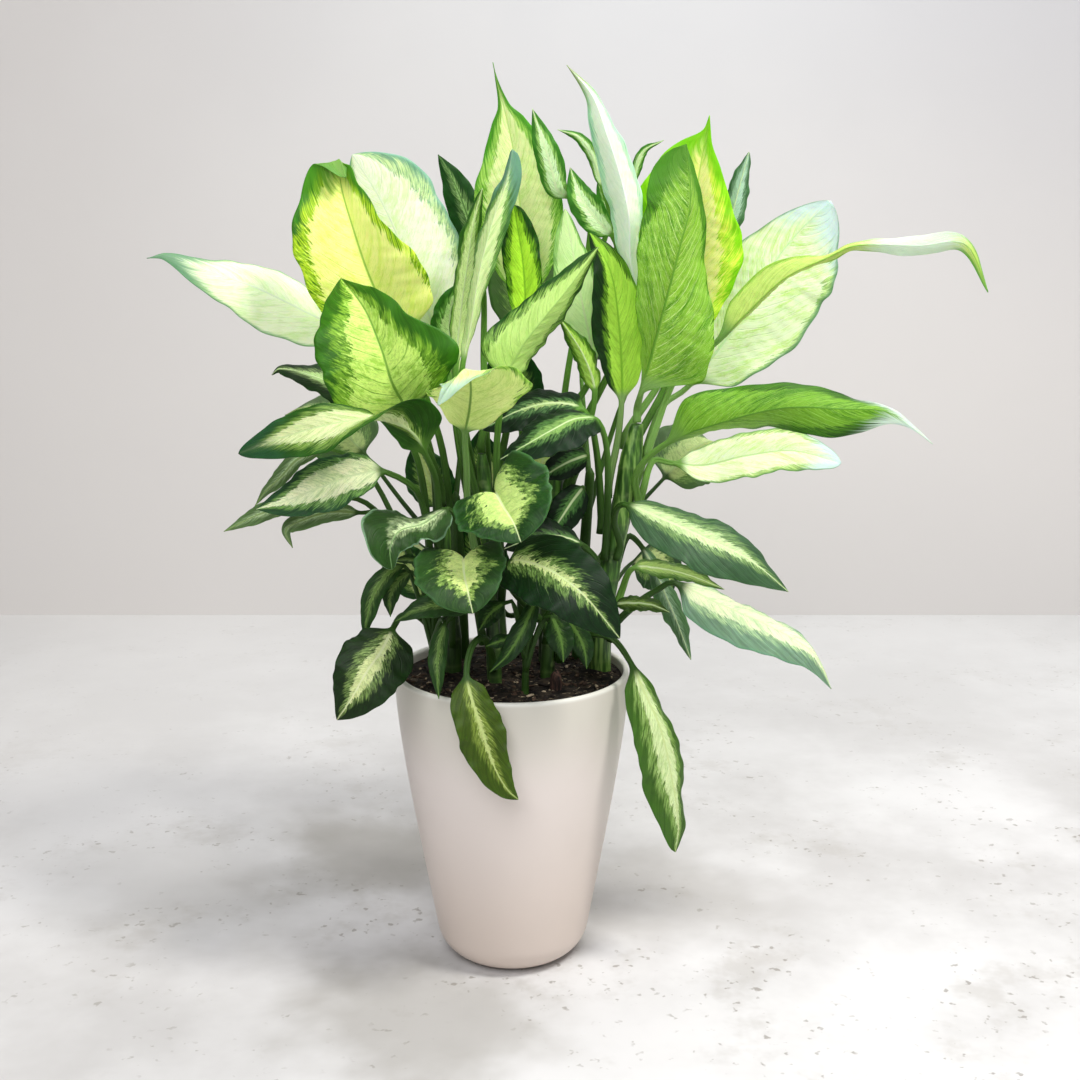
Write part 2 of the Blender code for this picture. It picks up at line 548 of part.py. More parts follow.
    leaf("leaf_36_right_twisting", "cane_right", (385, 330), OLIVE,
         stalk=[(104, 425, -6)],
         rib=[(128, 450, -18), (175, 468, -34), (225, 480, -42), (275, 479, -42), (309, 477, -36),
              (328, 466, -30), (349, 450, -26)],
         left=[(0, 36, -4), (.35, 24, 6), (.7, 14, 14), (1, 8, 4)],
         right=[(0, 4, 30), (.35, 12, 26), (.6, 29, 6), (.78, 22, 4), (.9, 4, 2), (1, 3, 0)],
         peak=.36, full=1.3, open_base=.08, ripple=2.5, waves=2.2)
    leaf("leaf_37_right_broad_pale", "cane_right", (402, 50), PALE,
         stalk=[(124, 480, 40)],
         rib=[(145, 497, 54), (190, 556, 66), (213, 597, 70), (233, 623, 70), (257, 646, 64)],
         left=[(0, 40, 10), (.5, 38, 10), (1, 24, 6)], right=[(0, 44, -8), (.5, 50, -8), (1, 68, -6)],
         under=True, peak=.48, full=1.3)
    leaf("leaf_38_right_slender", "cane_right", (436, 10), PALE,
         stalk=[(138, 510, 22)],
         rib=[(166, 532, 16), (190, 555, 8), (222, 585, 0), (255, 601, -6), (278, 611, -8), (330, 611, -8),
              (366, 612, -6), (387, 574, -2)],
         left=[(0, 20, 6), (.25, 19, 6), (.46, 3, 4), (.75, 10, 4), (1, 6, 2)],
         right=[(0, 2, 18), (.25, 2, 16), (.46, 2, 6), (.75, 10, 6), (1, 6, 2)], peak=.4, full=1.0)
    leaf("leaf_39_right_tall", "cane_right", None, OLIVE,
         stalk=[],
         rib=[(107, 492, -6), (116, 525, -20), (127, 570, -30), (137, 612, -32), (144, 645, -28),
              (140, 690, -20)],
         left=[(0, 4, 18), (.25, 17, 14), (.5, 31, 8), (.75, 46, 2), (1, 76, 0)],
         right=[(0, 56, 6), (.25, 50, 0), (.5, 30, 12), (1, 6, 18)],
         under=True, peak=.42, full=1.0, open_base=.05)
    leaf("leaf_40_right_lime", "cane_right", (442, 118), BRIGHT,
         stalk=[(122, 500, 30)],
         rib=[(136, 530, 34), (141, 575, 36), (145, 622, 34), (151, 668, 28), (158, 712, 20)],
         left=[(0, 46, -4), (.5, 47, -4), (.8, 48, -4), (.88, 38, -2), (.94, 9, -1), (1, 6, -1)],
         right=[(0, 44, -4), (.5, 42, -4), (.68, 29, -4), (.8, 22, -3), (.9, 12, -2), (1, 8, -1)],
         peak=.48, full=1.5)
    leaf("leaf_41_right_back_small", "cane_right", (430, 84), PALE,
         stalk=[(128, 500, 54)],
         rib=[(158, 585, 60), (176, 630, 62), (184, 660, 62), (190, 684, 62)],
         left=(9, 8), right=(9, 8), peak=.55, ribs=3)
    leaf("leaf_42_tall_mint", "cane_middle", (430, 20), PALE,
         stalk=[(86, 520, 18)],
         rib=[(103, 560, 10), (97, 600, 6), (95, 635, 6), (88, 665, 8), (76, 700, 8), (65, 727, 8),
              (45, 750, 8)],
         left=[(0, 8, 14), (.45, 16, 12), (1, 12, 6)], right=[(0, 6, 14), (.45, 12, 14), (1, 9, 8)],
         peak=.46, full=2.0)
    leaf("leaf_43_tall_centre", "cane_centre", None, BRIGHT,
         stalk=[(-6, 510, 30)],
         rib=[(8, 560, 42), (11, 600, 46), (8, 645, 46), (3, 685, 42), (-5, 720, 36), (-10, 738, 33),
              (-13, 752, 32)],
         left=[(0, 35, -4), (.5, 36, -4), (.68, 31, -3), (.77, 25, -2), (.83, 13, -1), (1, 9, -1)],
         right=[(0, 33, -2), (.6, 34, -2), (.77, 28, -2), (.83, 14, -1), (1, 9, -1)],
         peak=.42, full=2.5)
    leaf("leaf_44_back_dark", "cane_centre", (414, 75), DARK,
         stalk=[(-22, 520, 46)],
         rib=[(-22, 580, 62), (-30, 620, 66), (-42, 655, 66), (-57, 682, 64)],
         left=(15, 4), right=(15, 4), peak=.45, ribs=3)
    leaf("leaf_45_slender_tip", "cane_centre", (372, 250), PALE,
         stalk=[(-42, 470, -10)],
         rib=[(-40, 510, -14), (-33, 545, -12), (-25, 590, -8), (-14, 630, -4), (-3, 660, 0), (2, 686, 2)],
         left=[(0, 6, 12), (.6, 7, 12), (1, 5, 6)], right=[(0, 5, 14), (.6, 12, 6), (1, 16, 4)],
         peak=.6, full=1.1)
    leaf("leaf_46_slender_pale", "cane_centre", (392, 215), PALE,
         stalk=[(-44, 470, 4)],
         rib=[(-45, 510, 8), (-40, 560, 14), (-34, 600, 18), (-29, 630, 20), (-22, 656, 20)],
         left=(9, 12), right=(9, 12), peak=.5, full=1.4, ribs=3)
    leaf("leaf_48_lime_inner", "cane_centre", (400, 30), BRIGHT,
         stalk=[(2, 490, 20)],
         rib=[(10, 530, 26), (12, 565, 26), (10, 600, 24), (6, 625, 22), (3, 643, 20)],
         left=(16, -2), right=(15, -2), peak=.62, full=1.4, ribs=3)
    leaf("leaf_49_middle_diagonal", "cane_front", (322, 40), BRIGHT,
         stalk=[(-12, 440, -48)],
         rib=[(-5, 500, -56), (8, 528, -60), (26, 552, -60), (45, 575, -56), (71, 610, -48)],
         left=[(0, 44, -6), (.4, 24, 8), (1, 16, 6)], right=[(0, 18, 10), (.4, 13, 20), (1, 12, 14)],
         peak=.38, full=1.2)
    leaf("leaf_50_left_inner", "cane_centre", (355, 175), PALE,
         stalk=[(-46, 470, 24)],
         rib=[(-46, 512, 32), (-50, 540, 35), (-48, 563, 36), (-41, 581, 35)],
         left=(15, -4), right=(9, 12), peak=.5, ribs=3)
    leaf("leaf_51_pale_inner", "cane_middle", None, PALE,
         stalk=[(56, 488, 28)],
         rib=[(68, 512, 28), (65, 535, 28), (59, 562, 26), (51, 603, 22), (44, 640, 18)],
         left=(20, 0), right=(13, 6), peak=.5, ribs=3)
    leaf("leaf_52_lime_folded", "cane_middle", (400, 320), BRIGHT,
         stalk=[(60, 452, 14)],
         rib=[(69, 492, 6), (60, 522, -2), (38, 556, -8)],
         left=(9, 6), right=(9, 8), peak=.35, stalk_steps=2, ribs=3)
    leaf("leaf_53_dark_margin", "cane_right", (402, 170), BRIGHT,
         stalk=[(88, 452, 15)],
         rib=[(91, 482, 10), (91, 510, 6), (88, 550, 2), (81, 590, 0), (64, 621, 2)],
         left=[(0, 16, -4), (.5, 22, -4), (1, 16, -4)], right=(20, 4), peak=.45, full=1.4, ribs=3)


def make_shoots():
    """Young shoots: small leaves that grow together from one short stem."""
    low_stem = foot_on("cane_left", (306, 250), 3.0) + [(-76, -24, 348), (-95, -24, 384)]
    shoot("shoot_left_low", low_stem, 3.0, [
        ((-81, -24, 356), [(-118, 425, -16)],
         [(-150, 446, -20), (-176, 438, -24), (-192, 422, -26), (-205, 410, -26), (-214, 398, -26)],
         (7, 4), (7, 4), {}),
        ((-89, -24, 372), [(-124, 402, -14)],
         [(-165, 404, -14), (-190, 398, -16), (-215, 389, -16), (-241, 376, -14)], (8, 4), (8, 4), {}),
        ((-93, -24, 380), [(-110, 392, -22)],
         [(-125, 392, -22), (-150, 393, -26), (-174, 386, -28), (-189, 377, -28), (-184, 362, -28)],
         (9, 2), (9, 2), {}),
    ], OLIVE)
    shoot("shoot_front_left", [(-62, -30, 226), (-62, -30, 262), (-66, -38, 298)], 4.0, [
        ((-63, -34, 276), [(-82, 330, -46)],
         [(-90, 346, -54), (-104, 340, -66), (-117, 322, -72), (-123, 300, -74), (-126, 282, -74)],
         (9, 2), (9, 2), {}),
        ((-63, -34, 282), [(-76, 330, -46)],
         [(-84, 341, -50), (-97, 332, -56), (-103, 318, -58), (-103, 302, -58)], (8, 2), (8, 2), {}),
        ((-64, -36, 286), [(-66, 322, -46)], [(-72, 346, -56), (-86, 352, -60), (-101, 351, -62)],
         (4, 2), (4, 2), {}),
        ((-65, -38, 290), [(-48, 306, -58)],
         [(-38, 306, -66), (-58, 313, -74), (-80, 308, -78), (-99, 298, -78)], (10, -4), (10, 4), {}),
        ((-65, -38, 288), [(-60, 300, -62)],
         [(-57, 297, -74), (-62, 277, -88), (-64, 256, -98), (-63, 229, -104)], (8, 2), (8, 2), {}),
    ], DARK)
    shoot("shoot_front", [(12, -62, 226), (12, -62, 262), (13, -63, 292)], 3.6, [
        ((12, -62, 280), [(18, 312, -66)],
         [(21, 318, -70), (9, 290, -84), (-4, 268, -90), (-19, 253, -90)], (9, -2), (9, 4), {}),
        ((12, -62, 272), [(16, 290, -64)],
         [(2, 284, -74), (-12, 280, -80), (-22, 276, -82)], (6, 2), (6, 2), {}),
        ((12, -63, 274), [(25, 298, -66)], [(33, 302, -70), (39, 291, -76), (43, 276, -78), (44, 262, -78)],
         (12, 2), (12, 2), {}),
        ((12, -62, 281), [(34, 310, -60)], [(46, 300, -62), (56, 287, -64), (62, 272, -64), (64, 256, -62)],
         (10, 2), (10, 2), {}),
        ((12, -63, 285), [(1, 315, -60)], [(-6, 314, -62), (-18, 305, -68), (-28, 290, -74)],
         (9, 2), (9, 2), {}),
    ], DARK)
    top_stem = foot_on("cane_middle", (430, 88), 3.2) + [(47, 50, 500), (60, 58, 576)]
    shoot("shoot_top", top_stem, 3.2, [
        ((59, 57, 568), [(64, 636, 52)],
         [(48, 648, 30), (38, 655, 20), (34, 668, 16), (29, 685, 14), (23, 702, 14), (18, 717, 14)],
         (11, 2), (11, 2), {}),
        ((59, 57, 570), [(84, 604, 50)],
         [(82, 618, 26), (69, 632, 22), (56, 650, 20), (48, 672, 20)], (13, -2), (12, 2), {}),
        ((59, 57, 562), [(92, 588, 56)], [(92, 612, 54), (82, 636, 52), (70, 663, 50)],
         (11, 0), (13, 0), {}),
        ((60, 58, 573), [(80, 630, 52)], [(74, 655, 44), (66, 680, 42), (55, 695, 40), (38, 701, 38)],
         (5, 2), (5, 2), {}),
        ((60, 58, 571), [(96, 625, 54)], [(97, 645, 46), (99, 665, 44), (106, 684, 42), (122, 693, 40)],
         (4, 2), (4, 2), {}),
    ], PALE)
    inner_stem = foot_on("cane_middle", (328, 285), 3.0) + [(40, 8, 365), (46, 0, 392)]
    shoot("shoot_inner", inner_stem, 3.0, [
        ((45, 1, 388), [(54, 424, -6)],
         [(64, 440, -9), (52, 437, -11), (40, 431, -13), (24, 421, -15)], (13, 2), (13, -2), {}),
        ((43, 4, 380), [(50, 402, -4)],
         [(60, 414, -7), (51, 402, -10), (42, 388, -13), (30, 370, -15)], (15, 2), (14, -2), {}),
    ], DARK)


def make_back_stems():
    """Leafy stems on the side away from the front, so that the plant is full all round."""
    shoot("back_stem_left", [(-44, 44, 226), (-44, 44, 262), (-46, 48, 330), (-50, 56, 400)], 6.0, [
        ((-46, 48, 330), [(-90, 400, 90)],
         [(-120, 440, 120), (-150, 470, 150), (-170, 480, 175), (-186, 474, 200)],
         (30, 10), (30, 20), {"under": True}),
        ((-48, 52, 360), [(-70, 450, 80)],
         [(-90, 500, 96), (-106, 545, 106), (-112, 590, 112), (-110, 625, 112)],
         (30, 6), (30, 12), {"under": True}),
        ((-50, 55, 390), [(-40, 460, 90)],
         [(-36, 500, 120), (-44, 520, 155), (-54, 516, 190), (-60, 496, 215)],
         (30, -8), (30, -8), {"anchor": .6}),
        ((-45, 46, 300), [(-60, 340, 90)],
         [(-70, 360, 120), (-84, 362, 150), (-92, 350, 175), (-96, 330, 192)], (24, -6), (24, -6), {}),
        ((-46, 48, 334), [(-50, 380, 56)],
         [(-56, 396, 58), (-64, 412, 60), (-72, 430, 62), (-80, 452, 62)], (20, 0), (20, 0), {}),
        ((-44, 44, 284), [(-58, 308, 46)],
         [(-68, 320, 48), (-82, 336, 50), (-94, 354, 50), (-102, 376, 48)], (20, 0), (20, 0), {}),
    ], DARK, blade_steps=5)
    shoot("back_stem_right", [(58, 48, 226), (58, 48, 262), (62, 54, 330), (68, 62, 420)], 6.0, [
        ((62, 54, 320), [(100, 390, 90)],
         [(126, 420, 120), (150, 445, 150), (166, 452, 178), (176, 442, 204)],
         (30, 14), (30, 10), {"under": True}),
        ((66, 58, 380), [(90, 480, 90)],
         [(112, 530, 104), (128, 580, 112), (138, 622, 112), (140, 650, 108)], (30, 8), (28, 8),
         {"under": True}),
        ((67, 61, 410), [(60, 480, 100)],
         [(58, 520, 130), (66, 540, 160), (74, 538, 190), (80, 520, 215)], (30, -8), (30, -8),
         {"anchor": .6}),
        ((60, 50, 290), [(86, 330, 90)],
         [(100, 348, 118), (116, 352, 144), (128, 342, 168), (136, 322, 184)], (24, -6), (24, -6), {}),
        ((59, 49, 280), [(58, 304, 50)],
         [(54, 318, 52), (50, 336, 54), (48, 354, 54), (50, 376, 52)], (17, 0), (17, 0), {}),
    ], DARK, blade_steps=5)
    shoot("back_stem_middle", [(8, 74, 226), (8, 74, 262), (8, 78, 320), (8, 86, 400)], 5.5, [
        ((8, 80, 330), [(6, 380, 120)],
         [(4, 410, 150), (0, 424, 180), (-4, 416, 208), (-6, 396, 228)], (28, -6), (28, -6), {}),
        ((8, 86, 390), [(12, 480, 110)],
         [(14, 530, 124), (12, 580, 130), (8, 625, 130), (6, 655, 126)], (30, 6), (30, 6),
         {"under": True}),
        ((8, 80, 336), [(0, 380, 74)],
         [(-6, 396, 78), (-14, 414, 80), (-22, 434, 82), (-26, 462, 82)], (22, 0), (22, 0), {}),
        ((8, 84, 372), [(18, 410, 80)],
         [(22, 424, 82), (28, 442, 84), (33, 464, 84), (36, 492, 82)], (20, 0), (20, 0), {}),
        ((8, 84, 380), [(8, 440, 88)],
         [(8, 460, 90), (4, 486, 90), (0, 512, 88), (-4, 542, 86)], (25, 0), (25, 0), {}),
        ((8, 76, 284), [(-4, 304, 70)],
         [(-12, 320, 68), (-22, 340, 66), (-30, 362, 64), (-34, 388, 62)], (24, 0), (24, 0), {}),
        ((8, 76, 290), [(18, 308, 72)],
         [(22, 322, 70), (28, 342, 70), (30, 364, 70), (28, 392, 68)], (22, 0), (22, 0), {}),
        ((8, 76, 290), [(16, 316, 104)],
         [(22, 328, 126), (28, 328, 148), (32, 316, 166), (34, 298, 178)], (20, -6), (20, -6), {}),
    ], DARK, blade_steps=5)


STEM_HOLES = [
    *[(points[0][0], points[0][1], radius + 0.5) for radius, points in CANES.values()],
    (-62, -30, 4.6), (12, -62, 4.2), (-44, 44, 6.7), (58, 48, 6.7), (8, 74, 6.2),
    (*BARK_PLACE, BARK_RADIUS + 0.4),
]

make_pot()
make_soil(STEM_HOLES)
make_bark()
for cane_name in CANES:
    make_cane(cane_name)
make_leaves()
make_shoots()
make_back_stems()
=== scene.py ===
"""Looks of a potted dumb cane: cream-centred leaves on several canes, in a tapered off-white pot.

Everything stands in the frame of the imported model: the origin is the middle of the pot's flat
underside, +Z is up and the front of the plant faces -Y. Shapes are worked out in millimetres here and
become metres as each mesh is made.
"""
import math

import bpy
import numpy as np
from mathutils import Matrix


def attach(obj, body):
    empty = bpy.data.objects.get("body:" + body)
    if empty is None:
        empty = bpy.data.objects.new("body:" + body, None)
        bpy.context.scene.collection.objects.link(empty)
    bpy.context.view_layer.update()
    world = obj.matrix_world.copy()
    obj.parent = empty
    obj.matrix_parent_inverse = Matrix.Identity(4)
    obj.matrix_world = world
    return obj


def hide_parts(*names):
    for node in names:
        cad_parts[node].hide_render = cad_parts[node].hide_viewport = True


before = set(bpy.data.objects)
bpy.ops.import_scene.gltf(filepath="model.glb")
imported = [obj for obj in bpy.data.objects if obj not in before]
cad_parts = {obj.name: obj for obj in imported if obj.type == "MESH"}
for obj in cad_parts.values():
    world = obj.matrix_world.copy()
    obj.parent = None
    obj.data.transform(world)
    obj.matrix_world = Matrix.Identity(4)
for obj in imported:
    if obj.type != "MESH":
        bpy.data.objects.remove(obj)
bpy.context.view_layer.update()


# The view: an eye at the height of the upper leaves, 1.2 m in front of the pot and looking a little
# down, with a lens slightly longer than normal. Leaves are placed from this eye further below.
EYE = np.array([24.0, -1200.0, 626.0])
MM = 0.001
camera_data = bpy.data.cameras.new("camera")
camera_data.sensor_width = 36.0
camera_data.lens = 48.73
camera = bpy.data.objects.new("camera", camera_data)
camera.location = EYE * MM
camera.rotation_euler = (math.radians(77.9), 0.0, 0.0)
bpy.context.collection.objects.link(camera)
bpy.context.scene.camera = camera


# The light: a bright white room with three soft square lamps. The strongest stands high on the right
# and throws the shadow to the left of the pot, a smaller one is behind it, like a window, and a wide
# one high in front lights the faces of the leaves.
def colour(code):
    """A finish's colour, written as it looks (#RRGGBB), as the linear values that a shader takes."""
    parts = [int(code[k:k + 2], 16) / 255 for k in (1, 3, 5)]
    return tuple(p / 12.92 if p <= 0.04045 else ((p + 0.055) / 1.055) ** 2.4 for p in parts) + (1.0,)


def lamp(name, place, aim, size, watts, tone):
    """A square area lamp at a place in metres, turned to face a point."""
    data = bpy.data.lights.new(name, "AREA")
    data.size = size
    data.energy = watts
    data.color = colour(tone)[:3]
    body = bpy.data.objects.new(name, data)
    body.location = place
    towards = body.location.copy()
    towards.x, towards.y, towards.z = (aim[k] - place[k] for k in range(3))
    body.rotation_euler = towards.to_track_quat("-Z", "Y").to_euler()
    bpy.context.collection.objects.link(body)


world = bpy.data.worlds.new("room_light")
world.use_nodes = True
world.node_tree.nodes["Background"].inputs["Color"].default_value = colour("#F2F4F6")
world.node_tree.nodes["Background"].inputs["Strength"].default_value = 0.26
bpy.context.scene.world = world
bpy.context.scene.view_settings.view_transform = "Standard"
lamp("key_lamp", (1.0, -0.7, 2.2), (0.0, 0.0, 0.35), 0.5, 40.0, "#FFFDF8")
lamp("window_lamp", (0.6, 0.5, 2.3), (0.0, 0.0, 0.3), 0.6, 15.0, "#FFFFFF")
lamp("front_lamp", (-0.4, -1.8, 1.9), (0.0, 0.0, 0.45), 1.3, 33.0, "#FAFBFF")


# The room: a cloudy pale concrete floor and a plastered wall about a metre behind the pot, bent back
# on the left, outside the picture, both with painted light and shade, and painted shadows on the floor.
# They only stage the plant. The class below lets shader maths be written as expressions, here and in
# every finish that follows.
class Shade:
    """One output of a material's nodes. Operators and methods on it add the nodes they stand for."""

    def __init__(self, tree, socket=None):
        self.tree = tree
        self.socket = socket

    def add(self, kind, values=(), output=0, **settings):
        """Any node: its settings are set first, then the values or links of its sockets."""
        node = self.tree.nodes.new("ShaderNode" + kind)
        for name, value in settings.items():
            setattr(node, name, value)
        for key, value in dict(values).items():
            if isinstance(value, Shade):
                self.tree.links.new(value.socket, node.inputs[key])
            else:
                node.inputs[key].default_value = value
        return Shade(self.tree, node.outputs[output])

    def reckon(self, operation, first, second=0.0):
        """A Math node on two numbers or shades."""
        return self.add("Math", {0: first, 1: second}, operation=operation)

    def __add__(self, other):
        return self.reckon("ADD", self, other)

    def __radd__(self, other):
        return self.reckon("ADD", other, self)

    def __sub__(self, other):
        return self.reckon("SUBTRACT", self, other)

    def __rsub__(self, other):
        return self.reckon("SUBTRACT", other, self)

    def __mul__(self, other):
        return self.reckon("MULTIPLY", self, other)

    def __rmul__(self, other):
        return self.reckon("MULTIPLY", other, self)

    def __pow__(self, other):
        return self.reckon("POWER", self, other)

    def __abs__(self):
        return self.reckon("ABSOLUTE", self)

    def step(self, start, end):
        """0 at start and 1 at end, with a smooth rise between."""
        return self.add("MapRange", {0: self, 1: start, 2: end}, interpolation_type="SMOOTHSTEP")

    def blend(self, share, low, high):
        """A share of the way from one colour to another. Each is a shade, a code or its values."""
        low, high = (colour(end) if isinstance(end, str) else end for end in (low, high))
        return self.add("Mix", {0: share, 6: low, 7: high}, output=2, data_type="RGBA")

    def between(self, low, high):
        """The colour that lies this share of the way from one to another."""
        return self.blend(self, low, high)

    def tint(self, share, other):
        """This colour, turned towards another by a share from 0 to 1."""
        return self.blend(share, self, other)

    def parts(self):
        """The three numbers of a vector."""
        node = self.add("SeparateXYZ", {0: self}).socket.node
        return [Shade(self.tree, node.outputs[k]) for k in range(3)]

    def stretched(self, *scale):
        """This vector with its three parts scaled, so that a pattern read at it is stretched."""
        return self.add("Mapping", {0: self, 3: scale})

    def value(self, name):
        """A vector that was worked out with the mesh and is kept in it under this name."""
        return self.add("Attribute", output="Vector", attribute_name=name)

    def noise(self, scale, detail=3.0, roughness=0.55):
        """Cloudy noise around 0.5, read at this vector."""
        return self.add("TexNoise", {"Vector": self, "Scale": scale, "Detail": detail,
                                     "Roughness": roughness})

    def into(self, shader, socket):
        """Feed this output to a socket of the surface shader."""
        self.tree.links.new(self.socket, shader.inputs[socket])

    def emboss(self, shader, strength, distance):
        """Raise the surface by this height, as a bump."""
        bump = self.add("Bump", {"Strength": strength, "Distance": distance, "Height": self})
        bump.into(shader, "Normal")


def finish(name, roughness, specular=0.5):
    """A new material: the material, its surface shader and the place on the piece as a shade."""
    material = bpy.data.materials.new(name)
    material.use_nodes = True
    shader = material.node_tree.nodes["Principled BSDF"]
    shader.inputs["Roughness"].default_value = roughness
    shader.inputs["Specular IOR Level"].default_value = specular
    place = Shade(material.node_tree).add("TexCoord", output="Object")
    return material, shader, place


def plane(name, corners, material):
    """A flat backdrop through four corners."""
    mesh = bpy.data.meshes.new(name)
    mesh.from_pydata(corners, [], [(0, 1, 2, 3)])
    mesh.materials.append(material)
    body = bpy.data.objects.new(name, mesh)
    bpy.context.collection.objects.link(body)


# In metres: the floor's front edge and half its width, how far the wall stands behind the pot and how
# high it is, where it bends on the left and how far back it then runs.
FLOOR_FRONT = -3.0
ROOM_SIDE = 4.0
WALL_BEHIND = 1.13
WALL_TOP = 3.0
WALL_BEND = -0.95
WALL_FAR = 4.0
# Dark patches round the pot, painted shadows of the pot and its leaves mixed with stains: how far
# across and away each lies and how far it reaches, in metres, and how strongly it shows.
PAINTED_SHADOW_PATCHES = [(-0.14, 0.2, 0.16, 0.5), (-0.07, -0.12, 0.15, 0.45), (-0.3, 0.12, 0.2, 0.2),
                   (0.14, 0.1, 0.14, 0.2)]
concrete, concrete_shader, spot = finish("concrete", 0.75, 0.25)
clouds = spot.noise(2.2, 6.0, 0.62)
stains = spot.noise(7.0, 5.0, 0.7)
pits = spot.noise(95.0, 2.0)
tone = clouds.step(0.36, 0.62).between("#C3C1C0", "#DDDCDC")
tone = tone.tint(stains.step(0.54, 0.68) * 0.35, "#ABA69F")
tone = tone.tint(pits.step(0.63, 0.7) * stains.step(0.46, 0.58) * 0.7, "#8D877F")
sideways, backwards, _ = spot.parts()
# Painted light: the floor is lighter further back and towards the left.
tone = tone.tint(backwards.step(0.1, 1.0) * 0.7, "#DADADA")
tone = tone.tint(sideways.step(0.1, -0.8) * 0.4, "#E6E3E0")
# Each painted shadow patch is a soft round with a border that is broken up by noise.
border = (spot.noise(9.0, 4.0) - 0.5) * 0.22
for across, away, reach, share in PAINTED_SHADOW_PATCHES:
    off_side, off_back = sideways - across, backwards - away
    distance = (off_side * off_side + off_back * off_back) ** 0.5 + border
    tone = tone.tint(distance.step(reach, reach * 0.25) * share, "#8E897E")
tone.into(concrete_shader, "Base Color")
plane("floor", [(-ROOM_SIDE, FLOOR_FRONT, 0), (ROOM_SIDE, FLOOR_FRONT, 0),
                (ROOM_SIDE, WALL_FAR, 0), (-ROOM_SIDE, WALL_FAR, 0)], concrete)

plaster, plaster_shader, spot = finish("plaster", 0.9, 0.2)
clouds = spot.noise(1.6, 4.0, 0.5)
sideways, _, height = spot.parts()
# Painted light and shade on the wall: darker towards the right and lighter near the floor.
tone = sideways.step(-0.9, 0.15).between("#CDC9C7", "#CBCCCF")
tone = tone.tint(sideways.step(0.1, 0.9) * 0.75, "#B4B3B7")
tone = tone.tint(clouds.step(0.35, 0.7) * 0.35, "#DEDDDC")
tone = tone.tint(height.step(1.2, 0.3) * 0.8, "#DDD9D6")
tone.into(plaster_shader, "Base Color")
plane("wall", [(WALL_BEND, WALL_BEHIND, 0), (ROOM_SIDE, WALL_BEHIND, 0),
               (ROOM_SIDE, WALL_BEHIND, WALL_TOP), (WALL_BEND, WALL_BEHIND, WALL_TOP)], plaster)
plane("wall_left", [(-ROOM_SIDE, WALL_FAR, 0), (WALL_BEND, WALL_BEHIND, 0),
                    (WALL_BEND, WALL_BEHIND, WALL_TOP), (-ROOM_SIDE, WALL_FAR, WALL_TOP)], plaster)


# The pot: one cast bowl with a thin round lip, walls that run upright under the rim and then taper to
# a rounded foot, and a smooth, slightly satin off-white glaze that is warmer towards the foot.
POT_HEIGHT = 258.0
POT_RIM_RADIUS = 100.0
POT_TAPER = 0.182
POT_SHOULDER = 47.8
POT_FOOT_FILLET = 24.0
POT_WALL = 5.0
POT_LIP = POT_WALL / 2
POT_FLOOR = 9.0


def make_piece(name, lofts, material, node):
    """One object in place of a node. Each loft is an array of rings and the values of its points:
    neighbouring rings are joined by quads, and each end is closed by a fan to the ring's middle.
    """
    points, faces, base = [], [], 0
    values = {}
    for rings, extra in lofts:
        rows, count = rings.shape[:2]
        grid = base + np.arange(rows * count).reshape(rows, count)
        low, high = grid[:-1], grid[1:]
        quads = np.stack([low, np.roll(low, -1, 1), np.roll(high, -1, 1), high], -1).reshape(-1, 4)
        ends = np.full((2, count), base + rows * count) + np.array([[0], [1]])
        fans = np.concatenate([np.stack([np.roll(grid[0], -1), grid[0], ends[0]], 1),
                               np.stack([grid[-1], np.roll(grid[-1], -1), ends[1]], 1)])
        flat = np.concatenate([rings.reshape(-1, 3), rings[:1].mean(1), rings[-1:].mean(1)])
        a, b, c, d = (flat[quads[:, k] - base] for k in range(4))
        volume = np.einsum("ij,ij", a, np.cross(b, c)) + np.einsum("ij,ij", a, np.cross(c, d))
        turn = 1 if volume > 0 else -1
        faces += quads[:, ::turn].tolist() + fans[:, ::turn].tolist()
        points.append(flat)
        for key, value in extra.items():
            closed = np.concatenate([value.reshape(-1, 3), value[:1].mean(1), value[-1:].mean(1)])
            values.setdefault(key, []).append(closed)
        base += len(flat)
    mesh = bpy.data.meshes.new(name)
    mesh.from_pydata((np.concatenate(points) * MM).tolist(), [], faces)
    for key, value in values.items():
        layer = mesh.attributes.new(key, "FLOAT_VECTOR", "POINT")
        layer.data.foreach_set("vector", np.concatenate(value).astype(np.float32).ravel())
    mesh.shade_smooth()
    mesh.materials.append(material)
    body = bpy.data.objects.new(name, mesh)
    bpy.context.collection.objects.link(body)
    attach(body, "root")
    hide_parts(node)
    return body


def pot_outer_radius(z):
    """Radius of the outside at a height: nearly upright under the rim, then an even taper, with a
    quarter-round taken off at the foot."""
    drop = POT_HEIGHT - z
    straight = POT_RIM_RADIUS - POT_TAPER * (drop - POT_SHOULDER * (1 - np.exp(-drop / POT_SHOULDER)))
    inset = POT_FOOT_FILLET - np.minimum(z, POT_FOOT_FILLET)
    return straight - POT_FOOT_FILLET + np.sqrt(POT_FOOT_FILLET**2 - inset**2)


def spun(radius, height, sides=192):
    """Rings of a profile turned round the upright axis: (r cos a, r sin a, z)."""
    angle = np.linspace(0, 2 * np.pi, sides, endpoint=False)
    radius, height = np.asarray(radius, float)[:, None], np.asarray(height, float)[:, None]
    return np.stack([radius * np.cos(angle), radius * np.sin(angle), height + 0 * angle], -1)


